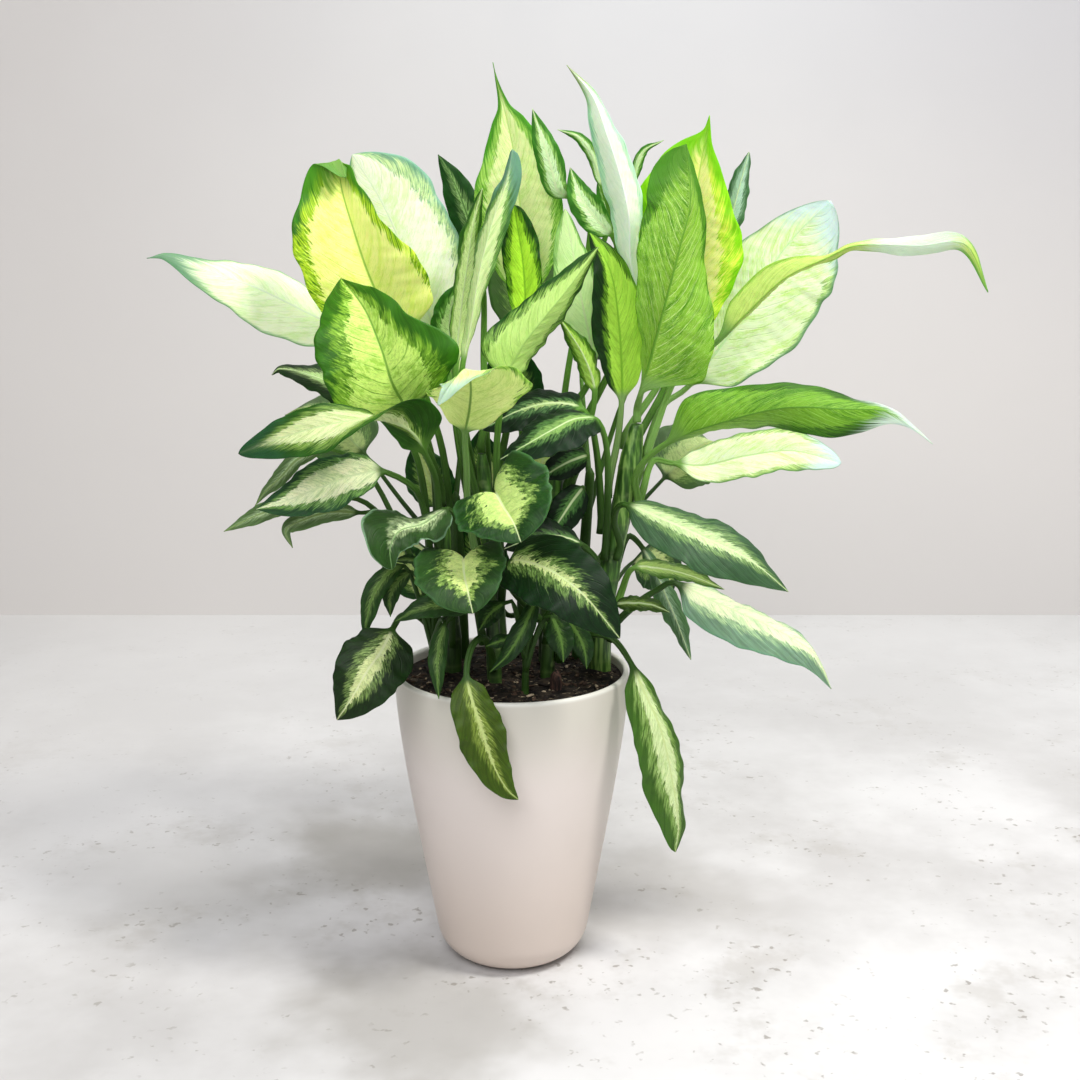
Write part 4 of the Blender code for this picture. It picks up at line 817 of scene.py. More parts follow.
leaf("leaf_07_left_lower", "cane_left", (296, 190), "leaf_dark",
     stalk=[(-76, 405, -26)],
     rib=[(-103, 426, -40), (-130, 424, -46), (-160, 413, -46), (-188, 402, -44), (-213, 395, -42)],
     left=(21, -12), right=(22, 14),
     look=dict(heart="#F6FFD0", flush="#86B45C", edge="#2C5230", reach=(.75, .55, .15), vein="#7FA45E"))
leaf("leaf_12_left_drooping", "cane_left", (280, 275), "leaf_dark",
     stalk=[(-48, 384, -40)],
     rib=[(-53, 395, -54), (-75, 382, -76), (-94, 376, -92), (-102, 362, -104), (-101, 343, -108)],
     left=[(0, 12, -18), (.3, 14, -20), (.6, 15, -14), (1, 8, -4)],
     right=[(0, 5, 22), (.3, 7, 26), (.55, 22, 20), (.75, 34, 8), (1, 22, 0)], peak=.5, full=1.1,
     ripple=3.0, waves=2.2,
     look=dict(heart="#D8EAB4", edge="#2A4A1C", reach=(.15, .15, -.3), rib="#6E9458", margin="#7FA080"))


# The heart-shaped young leaves at the front, with lobes at the base of the blade, on thin stalks from
# the short front canes, and the dark narrow ones in the shade behind them.
leaf("leaf_13_cupped_centre", "cane_front", (312, 120), "leaf_bright",
     stalk=[(-36, 392, -46), (-37, 430, -56)],
     rib=[(-38, 457, -62), (-34, 480, -74), (-33, 500, -88), (-37, 511, -104), (-48, 500, -122),
          (-60, 482, -128)],
     left=[(0, 20, -6), (.22, 24, -8), (.5, 34, -14), (1, 20, -4)],
     right=[(0, 20, -8), (.22, 27, -8), (.34, 37, -6), (.46, 52, 0), (.62, 38, 0), (1, 14, -4)],
     full=1.3, anchor=.27,
     look=dict(heart="#ECFFA0", flush="#B8E060", edge="#3E7A1C", reach=(1.1, .9, .5), vein="#A4CC50",
               rib="#4C8A1C", tip="#BFDCC8", tip_from=.8, back=.15, stalk="#8FB868", stem_shade=.5))
leaf("leaf_14_heart_upper", "cane_front", None, "leaf_dark",
     stalk=[(-13, 393, -66)],
     rib=[(-13, 408, -86), (-6, 396, -104), (2, 383, -121), (8, 367, -133)],
     left=[(0, 30, -20), (.3, 44, -18), (.6, 50, -14), (1, 58, -12)],
     right=[(0, 28, -4), (.3, 42, -6), (1, 46, -6)], peak=.34, full=1.0, open_base=.12, lobes=(26, 16),
     sinus=.3, join=.06, anchor=1.0,
     look=dict(heart="#CCE288", flush="#8FB058", edge="#1C4214", reach=(.35, .42, -.3), feather=.28,
               vein="#6E9848", rib="#E0EBB4", margin="#3E6838"))
leaf("leaf_15_heart_lower", "cane_front", (290, 215), "leaf_dark",
     stalk=[(-34, 336, -64)],
     rib=[(-40, 352, -86), (-40, 340, -106), (-37, 324, -124), (-33, 305, -134.2)],
     left=[(0, 29, -8), (.3, 36, -10), (.6, 40, -10), (1, 44, -10)],
     right=[(0, 29, -8), (.3, 40, -12), (.6, 48, -12), (1, 54, -12)], peak=.34, full=1.0, open_base=.12,
     lobes=(22, 22), sinus=.3, join=.06, ripple=.4, ruffle=.3,
     look=dict(heart="#DDEC96", flush="#9CBC60", edge="#26481A", reach=(.3, .34, -.3), feather=.28,
               vein="#6E9848", rib="#E0EBB4", margin="#3A6034"))
leaf("leaf_16_front_right", "cane_front_right", (288, 250), "leaf_dark",
     stalk=[(-2, 330, -54)],
     rib=[(-1, 350, -70), (20, 348, -88), (40, 338, -108), (62, 320, -122), (92, 283, -128)],
     left=(31, 8), right=(33, -10), full=1.4, open_base=.08, lobes=(8, 8), join=.08,
     look=dict(heart="#CEDC96", flush="#6F9048", edge="#0A260A", reach=(.15, .12, -.15), feather=.24,
               veins=.35, vein="#3C6030", rib="#CFDCA4"))
leaf("leaf_17_dark_upper", "cane_right", (372, 185), "leaf_dark",
     stalk=[(70, 450, 4)],
     rib=[(60, 478, -8), (36, 484, -2), (8, 478, -4), (-24, 462, -12)],
     left=(20, -18), right=(12, 16), peak=.45, full=1.4, open_base=.04,
     look=dict(heart="#B4CC86", flush="#56804A", edge="#041F06", reach=(.1, .12, -.2), vein="#2C5428"))
leaf("leaf_18_dark_lower", "cane_right", (352, 240), "leaf_dark",
     stalk=[(80, 440, -22)],
     rib=[(72, 469, -30), (54, 471, -42), (35, 462, -52), (14, 450, -58), (-9, 437, -60)],
     left=(21, -18), right=(15, 24), full=1.4, open_base=.05,
     look=dict(heart="#8CB060", flush="#567F42", edge="#06240A", reach=(.2, .22, -.1), vein="#2C5428"))
leaf("leaf_19_dark_inner", "cane_right", (318, 200), "leaf_dark",
     stalk=[(72, 350, -26)],
     rib=[(60, 364, -36), (40, 372, -44), (18, 370, -50), (-6, 361, -54)],
     left=(14, -12), right=(14, 14), peak=.45, full=1.4,
     look=dict(heart="#5E8A44", flush="#4C7238", edge="#031C05", reach=(.1, .1, -.2)))


# The hanging leaves: three limp ones that droop over the rim of the pot on thin bent stalks. They are
# held by those stalks alone and hang clear of the pot.
leaf("leaf_20_front_left_hanging", "cane_left", (272, 200), "leaf_dark",
     stalk=[(-78, 302, -22), (-93, 303, -48)],
     rib=[(-101, 292, -74), (-112, 271, -94), (-124, 254, -106), (-137, 231, -112), (-151, 210, -112)],
     left=(31, -4), right=(29, 6), full=1.5, open_base=.03,
     look=dict(heart="#D3DC9E", flush="#7F9A54", edge="#162B0C", reach=(.12, .26, 0), veins=.25,
               vein="#3C5A2C", rib="#DCE2B4"))
leaf("leaf_21_front_hanging", "cane_front", (268, 265), "leaf_olive",
     stalk=[(-24, 284, -66), (-34, 276, -82)],
     rib=[(-39, 252, -100), (-35, 230, -112), (-28, 207, -118), (-16, 168, -122), (-5, 147, -124),
          (5, 137, -125)],
     left=(19, 6), right=(22, -4), full=1.4, ripple=2.2, waves=2.4,
     look=dict(heart="#BFCB84", flush="#7E923C", edge="#3E5410", reach=(.06, .1, -.05), veins=.4,
               vein="#4C6E24", rib="#B4C47C"))
leaf("leaf_22_right_hanging", "cane_front_right", (270, 330), "leaf_olive",
     stalk=[(62, 286, -44), (84, 284, -54)],
     rib=[(100, 264, -58), (115, 232, -62), (128, 202, -62), (138, 160, -60), (145, 112, -56),
          (143, 88, -54)],
     left=(11, 14), right=(26, -8), peak=.5, full=1.3, ripple=2.5, waves=2.2,
     look=dict(heart="#DAEAB0", flush="#96B862", edge="#426820", reach=(.3, .4, .05), veins=.4,
               vein="#547E2C", rib="#C4D490"))


# The leaves on the right: the lower ones droop, and the pale and twisting ones reach out level. Their
# stalks leave the thick right cane one above the other.
# The bluish grey-green of this leaf's margin is a painted sheen on its dark green.
leaf("leaf_29_right_front", "cane_right", (352, 285), "leaf_dark",
     stalk=[(86, 385, -16)],
     rib=[(93, 399, -34), (128, 386, -54), (165, 369, -66), (200, 352, -70), (234, 324, -66)],
     left=(17, 14), right=(28, -12), peak=.46, full=1.9, ripple=3.0, waves=2.0,
     look=dict(heart="#D0E6A8", flush="#7C9E5C", edge="#40603F", reach=(.3, .25, -.05), lean=.3,
               vein="#56805A"))
leaf("leaf_31_right_narrow", "cane_right", (308, 20), "leaf_bright",
     stalk=[],
     rib=[(102, 344, 12), (125, 344, 16), (150, 338, 16), (180, 326, 14)],
     left=(8, 9), right=(7, -8), peak=.4,
     look=dict(heart="#A6C268", edge="#476E22", reach=(.6, .5, .3), veins=.2, stalk="#7FAE4C",
               stem_shade=.4))
leaf("leaf_32_right_low", "cane_right", (280, 310), "leaf_pale",
     stalk=[(109, 316, -4), (124, 326, -8)],
     rib=[(136, 332, -12), (173, 315, -20), (217, 295, -24), (253, 274, -22), (266, 256, -18),
          (274, 238, -16)],
     left=(9, 26), right=(27, -8), peak=.36, full=1.5,
     look=dict(heart="#EFF6CC", flush="#BAD8A0", edge="#7FA084", reach=(.55, .45, .2), lean=.35,
               vein="#8CB488", margin="#6E9C80", mottle=.8))
leaf("leaf_33_right_drooping", "cane_right", (330, 60), "leaf_dark",
     stalk=[(98, 372, 34)],
     rib=[(107, 366, 36), (118, 348, 38), (130, 322, 38), (141, 296, 36), (153, 264, 34)],
     left=(9, 8), right=(9, 8), peak=.5,
     look=dict(heart="#B8D2B4", edge="#5E8458", reach=(.2, .15, 0)))
leaf("leaf_34_right_olive", "cane_right", (272, 225), "leaf_olive",
     stalk=[],
     rib=[(88, 312, -24), (105, 314, -32), (120, 312, -36), (134, 306, -38)],
     left=(7, 4), right=(7, -4),
     look=dict(heart="#7F9A48", edge="#3C561C", reach=(.3, .3, .1)))
leaf("leaf_35_right_pale", "cane_right", (394, -10), "leaf_pale",
     stalk=[(118, 436, 34)],
     rib=[(133, 434, 40), (160, 432, 44), (195, 440, 46), (234, 444, 46), (274, 434, 42)],
     left=(20, 10), right=(18, -14), peak=.5, full=1.2,
     look=dict(heart="#E4F5C2", flush="#C8E488", edge="#6E9A44", reach=(1.0, .85, .6), veins=.7,
               vein="#FAFFF4", rib="#B0D086", tip="#CFEAE8", tip_from=.88, margin="#5F8F50", mottle=.9,
               stalk="#7FAE4C", stem_shade=.4))
leaf("leaf_36_right_twisting", "cane_right", (385, 330), "leaf_olive",
     stalk=[(104, 425, -6)],
     rib=[(128, 450, -18), (175, 468, -34), (225, 480, -42), (275, 479, -42), (309, 477, -36),
          (328, 466, -30), (349, 450, -26)],
     left=[(0, 36, -4), (.35, 24, 6), (.7, 14, 14), (1, 8, 4)],
     right=[(0, 4, 30), (.35, 12, 26), (.6, 29, 6), (.78, 22, 4), (.9, 4, 2), (1, 3, 0)], peak=.36,
     full=1.3, open_base=.08, ripple=2.5, waves=2.2,
     look=dict(heart="#72A626", flush="#447C0E", edge="#1F4A06", reach=(1.0, .7, .15), veins=.8,
               vein="#A8D860", rib="#548A24", tip="#D8ECDC", tip_from=.8, mottle=1.0, back=0,
               stalk="#7FAE4C", stem_shade=.4))


# The tall leaves on the right: two seen from below, a slender bent one and the bright lime one, on
# long upright stalks round the right cane.
leaf("leaf_37_right_broad_pale", "cane_right", (402, 50), "leaf_pale",
     stalk=[(124, 480, 40)],
     rib=[(145, 497, 54), (190, 556, 66), (213, 597, 70), (233, 623, 70), (257, 646, 64)],
     left=[(0, 40, 10), (.5, 38, 10), (1, 24, 6)], right=[(0, 44, -8), (.5, 50, -8), (1, 68, -6)],
     under=True, peak=.48, full=1.3,
     look=dict(heart="#E2F3C6", flush="#C4E488", edge="#7DAE60", reach=(1.1, 1.1, .9), lean=.18,
               veins=.6, vein="#F0FAE0", rib="#B9DCA0", tip="#D4ECEC", tip_from=.88, margin="#4C7A5C",
               mottle=1.0, back=0, stalk="#8DB860", stem_shade=.35))
leaf("leaf_38_right_slender", "cane_right", (436, 10), "leaf_pale",
     stalk=[(138, 510, 22)],
     rib=[(166, 532, 16), (190, 555, 8), (222, 585, 0), (255, 601, -6), (278, 611, -8), (330, 611, -8),
          (366, 612, -6), (387, 574, -2)],
     left=[(0, 20, 6), (.25, 19, 6), (.46, 3, 4), (.75, 10, 4), (1, 6, 2)],
     right=[(0, 2, 18), (.25, 2, 16), (.46, 2, 6), (.75, 10, 6), (1, 6, 2)], peak=.4, full=1.0,
     look=dict(heart="#CFE67A", flush="#A6CE50", edge="#6B9C2A", reach=(.9, .8, .6), veins=.35,
               rib="#7CB42C", tip="#6FAE4C", tip_from=.93, band="#DCEEDC", band_at=(.56, .82),
               stalk="#8DB860", stem_shade=.35))
leaf("leaf_39_right_tall", "cane_right", None, "leaf_olive",
     stalk=[],
     rib=[(107, 492, -6), (116, 525, -20), (127, 570, -30), (137, 612, -32), (144, 645, -28),
          (140, 690, -20)],
     left=[(0, 4, 18), (.25, 17, 14), (.5, 31, 8), (.75, 46, 2), (1, 76, 0)],
     right=[(0, 56, 6), (.25, 50, 0), (.5, 30, 12), (1, 6, 18)], under=True, full=1.0, open_base=.05,
     look=dict(heart="#86B834", flush="#548E12", edge="#2A600A", reach=(1.1, 1.0, .5), veins=.9,
               vein="#DAF598", rib="#548E24", tip="#4C8420", tip_from=.86, mottle=1.0, back=0,
               stalk="#8DB860", stem_shade=.35))
leaf("leaf_40_right_lime", "cane_right", (442, 118), "leaf_bright",
     stalk=[(122, 500, 30)],
     rib=[(136, 530, 34), (141, 575, 36), (145, 622, 34), (151, 668, 28), (158, 712, 20)],
     left=[(0, 46, -4), (.5, 47, -4), (.8, 48, -4), (.88, 38, -2), (.94, 9, -1), (1, 6, -1)],
     right=[(0, 44, -4), (.5, 42, -4), (.68, 29, -4), (.8, 22, -3), (.9, 12, -2), (1, 8, -1)], peak=.48,
     full=1.5,
     look=dict(heart="#FCFFA0", flush="#ECFF58", edge="#9AEC14", reach=(.78, .6, .3), vein="#B8E640",
               rib="#B0E040", tip="#7CCB10", stalk="#8DB860", stem_shade=.35))
leaf("leaf_41_right_back_small", "cane_right", (430, 84), "leaf_pale",
     stalk=[(128, 500, 54)],
     rib=[(158, 585, 60), (176, 630, 62), (184, 660, 62), (190, 684, 62)],
     left=(9, 8), right=(9, 8), peak=.55,
     look=dict(heart="#B5D6BC", edge="#4C7A4C", reach=(.6, .5, .3), veins=.2))


# The tall leaves in the middle, from the mint one that leads them to the narrow ones among them. Their
# long stalks rise close together from the canes below.
leaf("leaf_42_tall_mint", "cane_middle", (430, 20), "leaf_pale",
     stalk=[(86, 520, 18)],
     rib=[(103, 560, 10), (97, 600, 6), (95, 635, 6), (88, 665, 8), (76, 700, 8), (65, 727, 8),
          (45, 750, 8)],
     left=[(0, 8, 14), (.45, 16, 12), (1, 12, 6)], right=[(0, 6, 14), (.45, 12, 14), (1, 9, 8)],
     peak=.46, full=2.0,
     look=dict(heart="#E8F8DC", flush="#CDEFC8", edge="#9CD8B0", reach=(.9, .7, .5), veins=.2,
               vein="#C6E4BC", rib="#F4FBF0", tip="#8A9A40", tip_from=.93, margin="#CFF0DC"))
leaf("leaf_43_tall_centre", "cane_centre", None, "leaf_bright",
     stalk=[(-6, 510, 30)],
     rib=[(8, 560, 42), (11, 600, 46), (8, 645, 46), (3, 685, 42), (-5, 720, 36), (-10, 738, 33),
          (-13, 752, 32)],
     left=[(0, 35, -4), (.5, 36, -4), (.68, 31, -3), (.77, 25, -2), (.83, 13, -1), (1, 9, -1)],
     right=[(0, 33, -2), (.6, 34, -2), (.77, 28, -2), (.83, 14, -1), (1, 9, -1)], full=2.5,
     look=dict(heart="#F0FFB4", flush="#BCE86C", edge="#4E9A20", reach=(.85, .7, .25), vein="#9CC848",
               rib="#BEDC78", tip="#4C8A24", tip_from=.86))
leaf("leaf_44_back_dark", "cane_centre", (414, 75), "leaf_dark",
     stalk=[(-22, 520, 46)],
     rib=[(-22, 580, 62), (-30, 620, 66), (-42, 655, 66), (-57, 682, 64)],
     left=(15, 4), right=(15, 4), peak=.45,
     look=dict(heart="#A8D080", edge="#16460F", reach=(.2, .15, 0), rib="#3A6A28"))
leaf("leaf_45_slender_tip", "cane_centre", (372, 250), "leaf_pale",
     stalk=[(-42, 470, -10)],
     rib=[(-40, 510, -14), (-33, 545, -12), (-25, 590, -8), (-14, 630, -4), (-3, 660, 0), (2, 686, 2)],
     left=[(0, 6, 12), (.6, 7, 12), (1, 5, 6)], right=[(0, 5, 14), (.6, 12, 6), (1, 16, 4)], peak=.6,
     full=1.1,
     look=dict(heart="#E2F7B0", flush="#8CB85C", edge="#4C7E3A", reach=(.9, .7, .1), vein="#80B45C",
               tip="#6E9C84", tip_from=.85))
leaf("leaf_46_slender_pale", "cane_centre", (392, 215), "leaf_pale",
     stalk=[(-44, 470, 4)],
     rib=[(-45, 510, 8), (-40, 560, 14), (-34, 600, 18), (-29, 630, 20), (-22, 656, 20)],
     left=(9, 12), right=(9, 12), peak=.5, full=1.4,
     look=dict(heart="#E6FFAC", flush="#B0DC6C", edge="#2A6408", reach=(.7, .5, .1)))
leaf("leaf_48_lime_inner", "cane_centre", (400, 30), "leaf_bright",
     stalk=[(2, 490, 20)],
     rib=[(10, 530, 26), (12, 565, 26), (10, 600, 24), (6, 625, 22), (3, 643, 20)],
     left=(16, -2), right=(15, -2), peak=.62, full=1.4,
     look=dict(heart="#BCF23C", flush="#7EBB1E", edge="#123F02", reach=(.9, .7, .25), veins=.4,
               vein="#62A018", rib="#78B420"))
leaf("leaf_49_middle_diagonal", "cane_front", (322, 40), "leaf_bright",
     stalk=[(-12, 440, -48)],
     rib=[(-5, 500, -56), (8, 528, -60), (26, 552, -60), (45, 575, -56), (71, 610, -48)],
     left=[(0, 44, -6), (.4, 24, 8), (1, 16, 6)], right=[(0, 18, 10), (.4, 13, 20), (1, 12, 14)],
     peak=.38, full=1.2,
     look=dict(heart="#BFE07E", flush="#8DB850", edge="#1C4A10", reach=(.8, .62, .2), veins=.45,
               vein="#84B04C", rib="#A8CE70"))
leaf("leaf_50_left_inner", "cane_centre", (355, 175), "leaf_pale",
     stalk=[(-46, 470, 24)],
     rib=[(-46, 512, 32), (-50, 540, 35), (-48, 563, 36), (-41, 581, 35)],
     left=(15, -4), right=(9, 12), peak=.5,
     look=dict(heart="#DCFAA8", flush="#8CC45C", edge="#3A7420", reach=(.6, .45, .1)))
leaf("leaf_51_pale_inner", "cane_middle", None, "leaf_pale",
     stalk=[(56, 488, 28)],
     rib=[(68, 512, 28), (65, 535, 28), (59, 562, 26), (51, 603, 22), (44, 640, 18)],
     left=(20, 0), right=(13, 6), peak=.5,
     look=dict(heart="#DCFCB0", flush="#ACDC78", edge="#6FA254", reach=(1.0, .9, .6), vein="#A4CE80"))
leaf("leaf_52_lime_folded", "cane_middle", (400, 320), "leaf_bright",
     stalk=[(60, 452, 14)],
     rib=[(69, 492, 6), (60, 522, -2), (38, 556, -8)],
     left=(9, 6), right=(9, 8), peak=.35,
     look=dict(heart="#B4DC60", flush="#7CAA32", edge="#3F6E14", reach=(.7, .5, .2)))
leaf("leaf_53_dark_margin", "cane_right", (402, 170), "leaf_bright",
     stalk=[(88, 452, 15)],
     rib=[(91, 482, 10), (91, 510, 6), (88, 550, 2), (81, 590, 0), (64, 621, 2)],
     left=[(0, 16, -4), (.5, 22, -4), (1, 16, -4)], right=(20, 4), peak=.45, full=1.4,
     look=dict(heart="#BCEE50", flush="#74AC26", edge="#0A2C06", reach=(.9, .6, .2), lean=-.45, veins=.4,
               vein="#5F9C20", rib="#7CB82C", stalk="#9CC072", stem_shade=.35))


# The young shoots: small narrow leaves that grow together from one short stem, each shoot one piece.
# Their blades are flatter than the grown ones', with low ruffles.
SHOOT_LANES = np.array([1, .9, .7, .45, .22, .08, 0, -.08, -.22, -.45, -.7, -.9, -1])


def shoot(name, stem, stem_radius, leaves, look, anchor=0.333):
    """A short stem, round and thinner towards its end, and the small leaves that leave it. Each has
    its place on the stem, one point of its stalk, its midrib and its left margin, and, where they
    aren't the same or plain, its right margin and its shape's settings.
    """
    path = np.array(stem, float)
    knots = np.concatenate([[0], np.cumsum(np.linalg.norm(np.diff(path, axis=0), axis=1))])
    where = np.linspace(0, knots[-1], 40)
    middle = smooth_curve(path, knots, where)
    tangent = unit(np.gradient(middle, axis=0))
    side = unit(np.cross(tangent, np.array([0.0, 1.0, 0.0])))
    other = np.cross(tangent, side)
    rounded = np.sqrt(np.clip((knots[-1] - where + 0.5) / 6, 0, 1))
    girth = stem_radius * (1 - 0.3 * where / knots[-1]) * rounded
    angle = np.linspace(0, 2 * np.pi, 18, endpoint=False)[None, :, None]
    rings = middle[:, None] + girth[:, None, None] * (np.cos(angle) * side[:, None]
                                                      + np.sin(angle) * other[:, None])
    still = np.ones(rings.shape[:2] + (1,))
    growth = np.concatenate([still, 0 * still, still * where[:, None, None] * 0.01], 2)
    lofts = [(rings, {"blade": np.zeros_like(rings), "growth": growth, "lines": 0.1 * rings})]
    for number, (start, bend, rib, left, *more) in enumerate(leaves):
        right = more[0] if more else left
        options = more[1] if len(more) > 1 else {}
        options = {"radius": 1.7, "anchor": anchor, "quilt": 0.15, "ruffle": 0.6, "stations": 56,
                   "stalk_stations": 10, "lanes": SHOOT_LANES, "seed": number, **options}
        lofts.append(leaf_loft([start], [bend], rib, left, right, **options))
    return make_piece(name + "_leaves", lofts, leaf_skin(name + "_skin", **look), name)


low_stem = foot_on("cane_left", (306, 250), 3.0) + [(-76, -24, 348), (-95, -24, 384)]
shoot("shoot_left_low", low_stem, 3.0, [
    ((-81, -24, 356), (-118, 425, -16),
     [(-150, 446, -20), (-176, 438, -24), (-192, 422, -26), (-205, 410, -26), (-214, 398, -26)],
     (7, 4)),
    ((-89, -24, 372), (-124, 402, -14),
     [(-165, 404, -14), (-190, 398, -16), (-215, 389, -16), (-241, 376, -14)], (8, 4)),
    ((-93, -24, 380), (-110, 392, -22),
     [(-125, 392, -22), (-150, 393, -26), (-174, 386, -28), (-189, 377, -28), (-184, 362, -28)],
     (9, 2)),
], look=dict(heart="#C4DCA8", edge="#688650", reach=(.3, .2, 0), veins=.2, rib="#7F9A4C"))
shoot("shoot_front_left", [(-62, -30, 226), (-62, -30, 262), (-66, -38, 298)], 4.0, [
    ((-63, -34, 276), (-82, 330, -46),
     [(-90, 346, -54), (-104, 340, -66), (-117, 322, -72), (-123, 300, -74), (-126, 282, -74)], (9, 2)),
    ((-63, -34, 282), (-76, 330, -46),
     [(-84, 341, -50), (-97, 332, -56), (-103, 318, -58), (-103, 302, -58)], (8, 2)),
    ((-64, -36, 286), (-66, 322, -46), [(-72, 346, -56), (-86, 352, -60), (-101, 351, -62)], (4, 2)),
    ((-65, -38, 290), (-48, 306, -58),
     [(-38, 306, -66), (-58, 313, -74), (-80, 308, -78), (-99, 298, -78)], (10, -4), (10, 4)),
    ((-65, -38, 288), (-60, 300, -62),
     [(-57, 297, -74), (-62, 277, -88), (-64, 256, -98), (-63, 229, -104)], (8, 2)),
], look=dict(heart="#86A458", edge="#28481A", reach=(.25, .15, 0), veins=.2, rib="#5C7E38"))
shoot("shoot_front", [(12, -62, 226), (12, -62, 262), (13, -63, 292)], 3.6, [
    ((12, -62, 280), (18, 312, -66), [(21, 318, -70), (9, 290, -84), (-4, 268, -90), (-19, 253, -90)],
     (9, -2), (9, 4)),
    ((12, -62, 272), (16, 290, -64), [(2, 284, -74), (-12, 280, -80), (-22, 276, -82)], (6, 2)),
    ((12, -63, 274), (25, 298, -66), [(33, 302, -70), (39, 291, -76), (43, 276, -78), (44, 262, -78)],
     (12, 2)),
    ((12, -62, 281), (34, 310, -60), [(46, 300, -62), (56, 287, -64), (62, 272, -64), (64, 256, -62)],
     (10, 2)),
    ((12, -63, 285), (1, 315, -60), [(-6, 314, -62), (-18, 305, -68), (-28, 290, -74)], (9, 2)),
], look=dict(heart="#5C8038", edge="#1B3A12", reach=(.2, .15, 0), rib="#6A9040"))
top_stem = foot_on("cane_middle", (430, 88), 3.2) + [(47, 50, 500), (60, 58, 576)]
shoot("shoot_top", top_stem, 3.2, [
    ((59, 57, 568), (64, 636, 52),
     [(48, 648, 30), (38, 655, 20), (34, 668, 16), (29, 685, 14), (23, 702, 14), (18, 717, 14)],
     (11, 2)),
    ((59, 57, 570), (84, 604, 50), [(82, 618, 26), (69, 632, 22), (56, 650, 20), (48, 672, 20)],
     (13, -2), (12, 2)),
    ((59, 57, 562), (92, 588, 56), [(92, 612, 54), (82, 636, 52), (70, 663, 50)], (11, 0), (13, 0)),
    ((60, 58, 573), (80, 630, 52), [(74, 655, 44), (66, 680, 42), (55, 695, 40), (38, 701, 38)],
     (5, 2)),
    ((60, 58, 571), (96, 625, 54), [(97, 645, 46), (99, 665, 44), (106, 684, 42), (122, 693, 40)],
     (4, 2)),
], look=dict(heart="#DDF8C0", flush="#A8D470", edge="#3E8020", reach=(.6, .4, .1)))
inner_stem = foot_on("cane_middle", (328, 285), 3.0) + [(40, 8, 365), (46, 0, 392)]
shoot("shoot_inner", inner_stem, 3.0, [
    ((45, 1, 388), (54, 424, -6), [(64, 440, -9), (52, 437, -11), (40, 431, -13), (24, 421, -15)],
     (13, 2), (13, -2)),
    ((43, 4, 380), (50, 402, -4), [(60, 414, -7), (51, 402, -10), (42, 388, -13), (30, 370, -15)],
     (15, 2), (14, -2)),
], look=dict(heart="#54803E", flush="#3E6A30", edge="#041E04", reach=(.35, .25, .02)))


# The back stems: leafy stems on the side away from the front, of the same kind and finish, which make
# the plant full all round.
back_left_stem = [(-44, 44, 226), (-44, 44, 262), (-46, 48, 330), (-50, 56, 400)]
shoot("back_stem_left", back_left_stem, 6.0, [
    ((-46, 48, 330), (-90, 400, 90),
     [(-120, 440, 120), (-150, 470, 150), (-170, 480, 175), (-186, 474, 200)], (30, 10), (30, 20),
     {"under": True}),
    ((-48, 52, 360), (-70, 450, 80),
     [(-90, 500, 96), (-106, 545, 106), (-112, 590, 112), (-110, 625, 112)], (30, 6), (30, 12),
     {"under": True}),
    ((-50, 55, 390), (-40, 460, 90),
     [(-36, 500, 120), (-44, 520, 155), (-54, 516, 190), (-60, 496, 215)], (30, -8), (30, -8),
     {"anchor": .6}),
    ((-45, 46, 300), (-60, 340, 90),
     [(-70, 360, 120), (-84, 362, 150), (-92, 350, 175), (-96, 330, 192)], (24, -6)),
    ((-46, 48, 334), (-50, 380, 56), [(-56, 396, 58), (-64, 412, 60), (-72, 430, 62), (-80, 452, 62)],
     (20, 0)),
    ((-44, 44, 284), (-58, 308, 46), [(-68, 320, 48), (-82, 336, 50), (-94, 354, 50), (-102, 376, 48)],
     (20, 0)),
], anchor=.4, look=dict(heart="#D2E090", flush="#7A9E4C", edge="#1F4418", reach=(.45, .35, .05),
                        vein="#4A7A38", rib="#C4D898"))
back_right_stem = [(58, 48, 226), (58, 48, 262), (62, 54, 330), (68, 62, 420)]
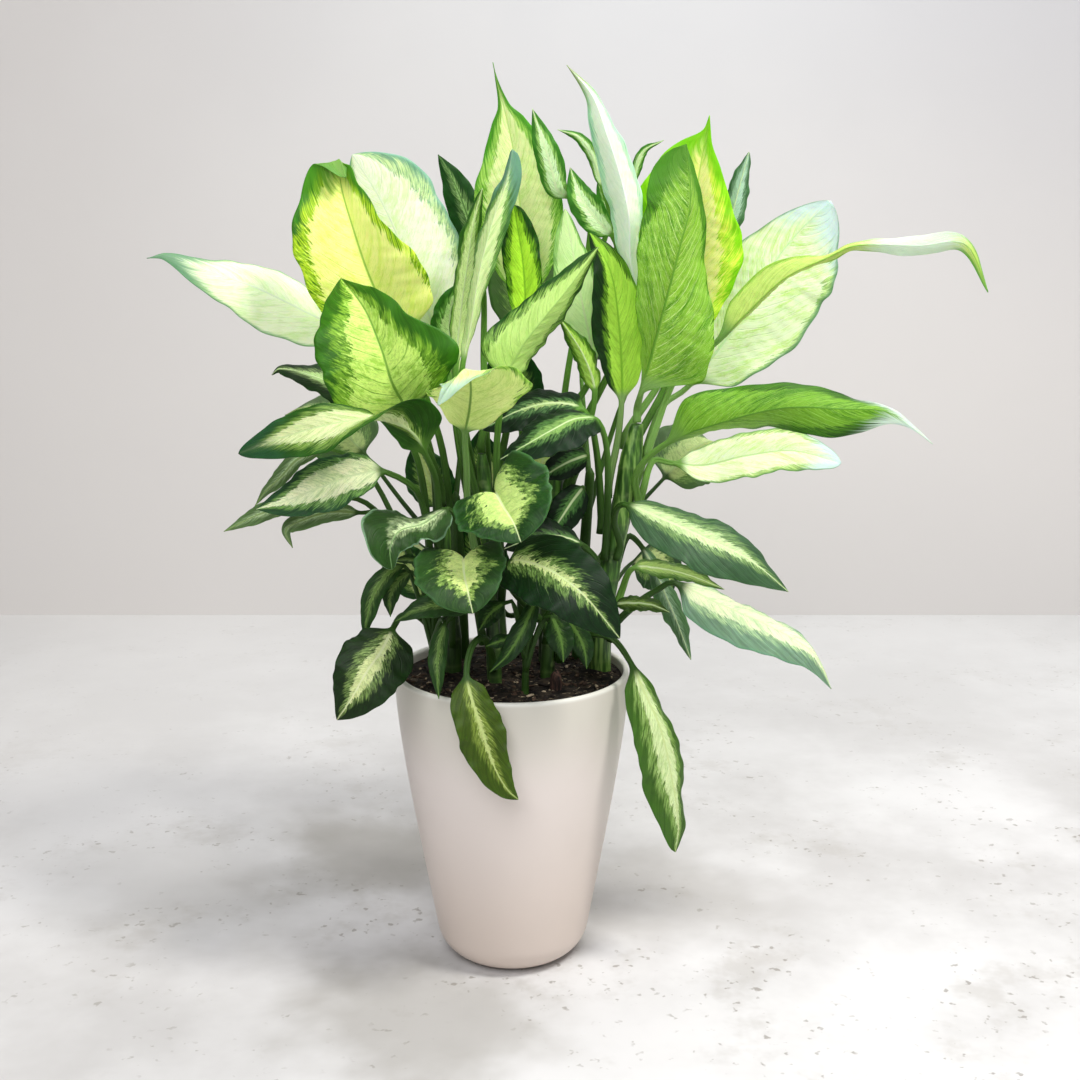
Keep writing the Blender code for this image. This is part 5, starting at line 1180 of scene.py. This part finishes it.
shoot("back_stem_right", back_right_stem, 6.0, [
    ((62, 54, 320), (100, 390, 90), [(126, 420, 120), (150, 445, 150), (166, 452, 178), (176, 442, 204)],
     (30, 14), (30, 10), {"under": True}),
    ((66, 58, 380), (90, 480, 90), [(112, 530, 104), (128, 580, 112), (138, 622, 112), (140, 650, 108)],
     (30, 8), (28, 8), {"under": True}),
    ((67, 61, 410), (60, 480, 100), [(58, 520, 130), (66, 540, 160), (74, 538, 190), (80, 520, 215)],
     (30, -8), (30, -8), {"anchor": .6}),
    ((60, 50, 290), (86, 330, 90), [(100, 348, 118), (116, 352, 144), (128, 342, 168), (136, 322, 184)],
     (24, -6)),
    ((59, 49, 280), (58, 304, 50), [(54, 318, 52), (50, 336, 54), (48, 354, 54), (50, 376, 52)],
     (17, 0)),
], anchor=.4, look=dict(heart="#D4E294", flush="#7CA24C", edge="#143F0C", reach=(.5, .4, .08),
                        vein="#4A7A38", rib="#C4D898"))
back_middle_stem = [(8, 74, 226), (8, 74, 262), (8, 78, 320), (8, 86, 400)]
shoot("back_stem_middle", back_middle_stem, 5.5, [
    ((8, 80, 330), (6, 380, 120), [(4, 410, 150), (0, 424, 180), (-4, 416, 208), (-6, 396, 228)],
     (28, -6)),
    ((8, 86, 390), (12, 480, 110), [(14, 530, 124), (12, 580, 130), (8, 625, 130), (6, 655, 126)],
     (30, 6), (30, 6), {"under": True}),
    ((8, 80, 336), (0, 380, 74), [(-6, 396, 78), (-14, 414, 80), (-22, 434, 82), (-26, 462, 82)],
     (22, 0)),
    ((8, 84, 372), (18, 410, 80), [(22, 424, 82), (28, 442, 84), (33, 464, 84), (36, 492, 82)],
     (20, 0)),
    ((8, 84, 380), (8, 440, 88), [(8, 460, 90), (4, 486, 90), (0, 512, 88), (-4, 542, 86)], (25, 0)),
    ((8, 76, 284), (-4, 304, 70), [(-12, 320, 68), (-22, 340, 66), (-30, 362, 64), (-34, 388, 62)],
     (24, 0)),
    ((8, 76, 290), (18, 308, 72), [(22, 322, 70), (28, 342, 70), (30, 364, 70), (28, 392, 68)],
     (22, 0)),
    ((8, 76, 290), (16, 316, 104), [(22, 328, 126), (28, 328, 148), (32, 316, 166), (34, 298, 178)],
     (20, -6)),
], anchor=.4, look=dict(heart="#CFDE8C", flush="#789C48", edge="#0E380A", reach=(.42, .34, .05),
                        vein="#4A7A38", rib="#C4D898"))
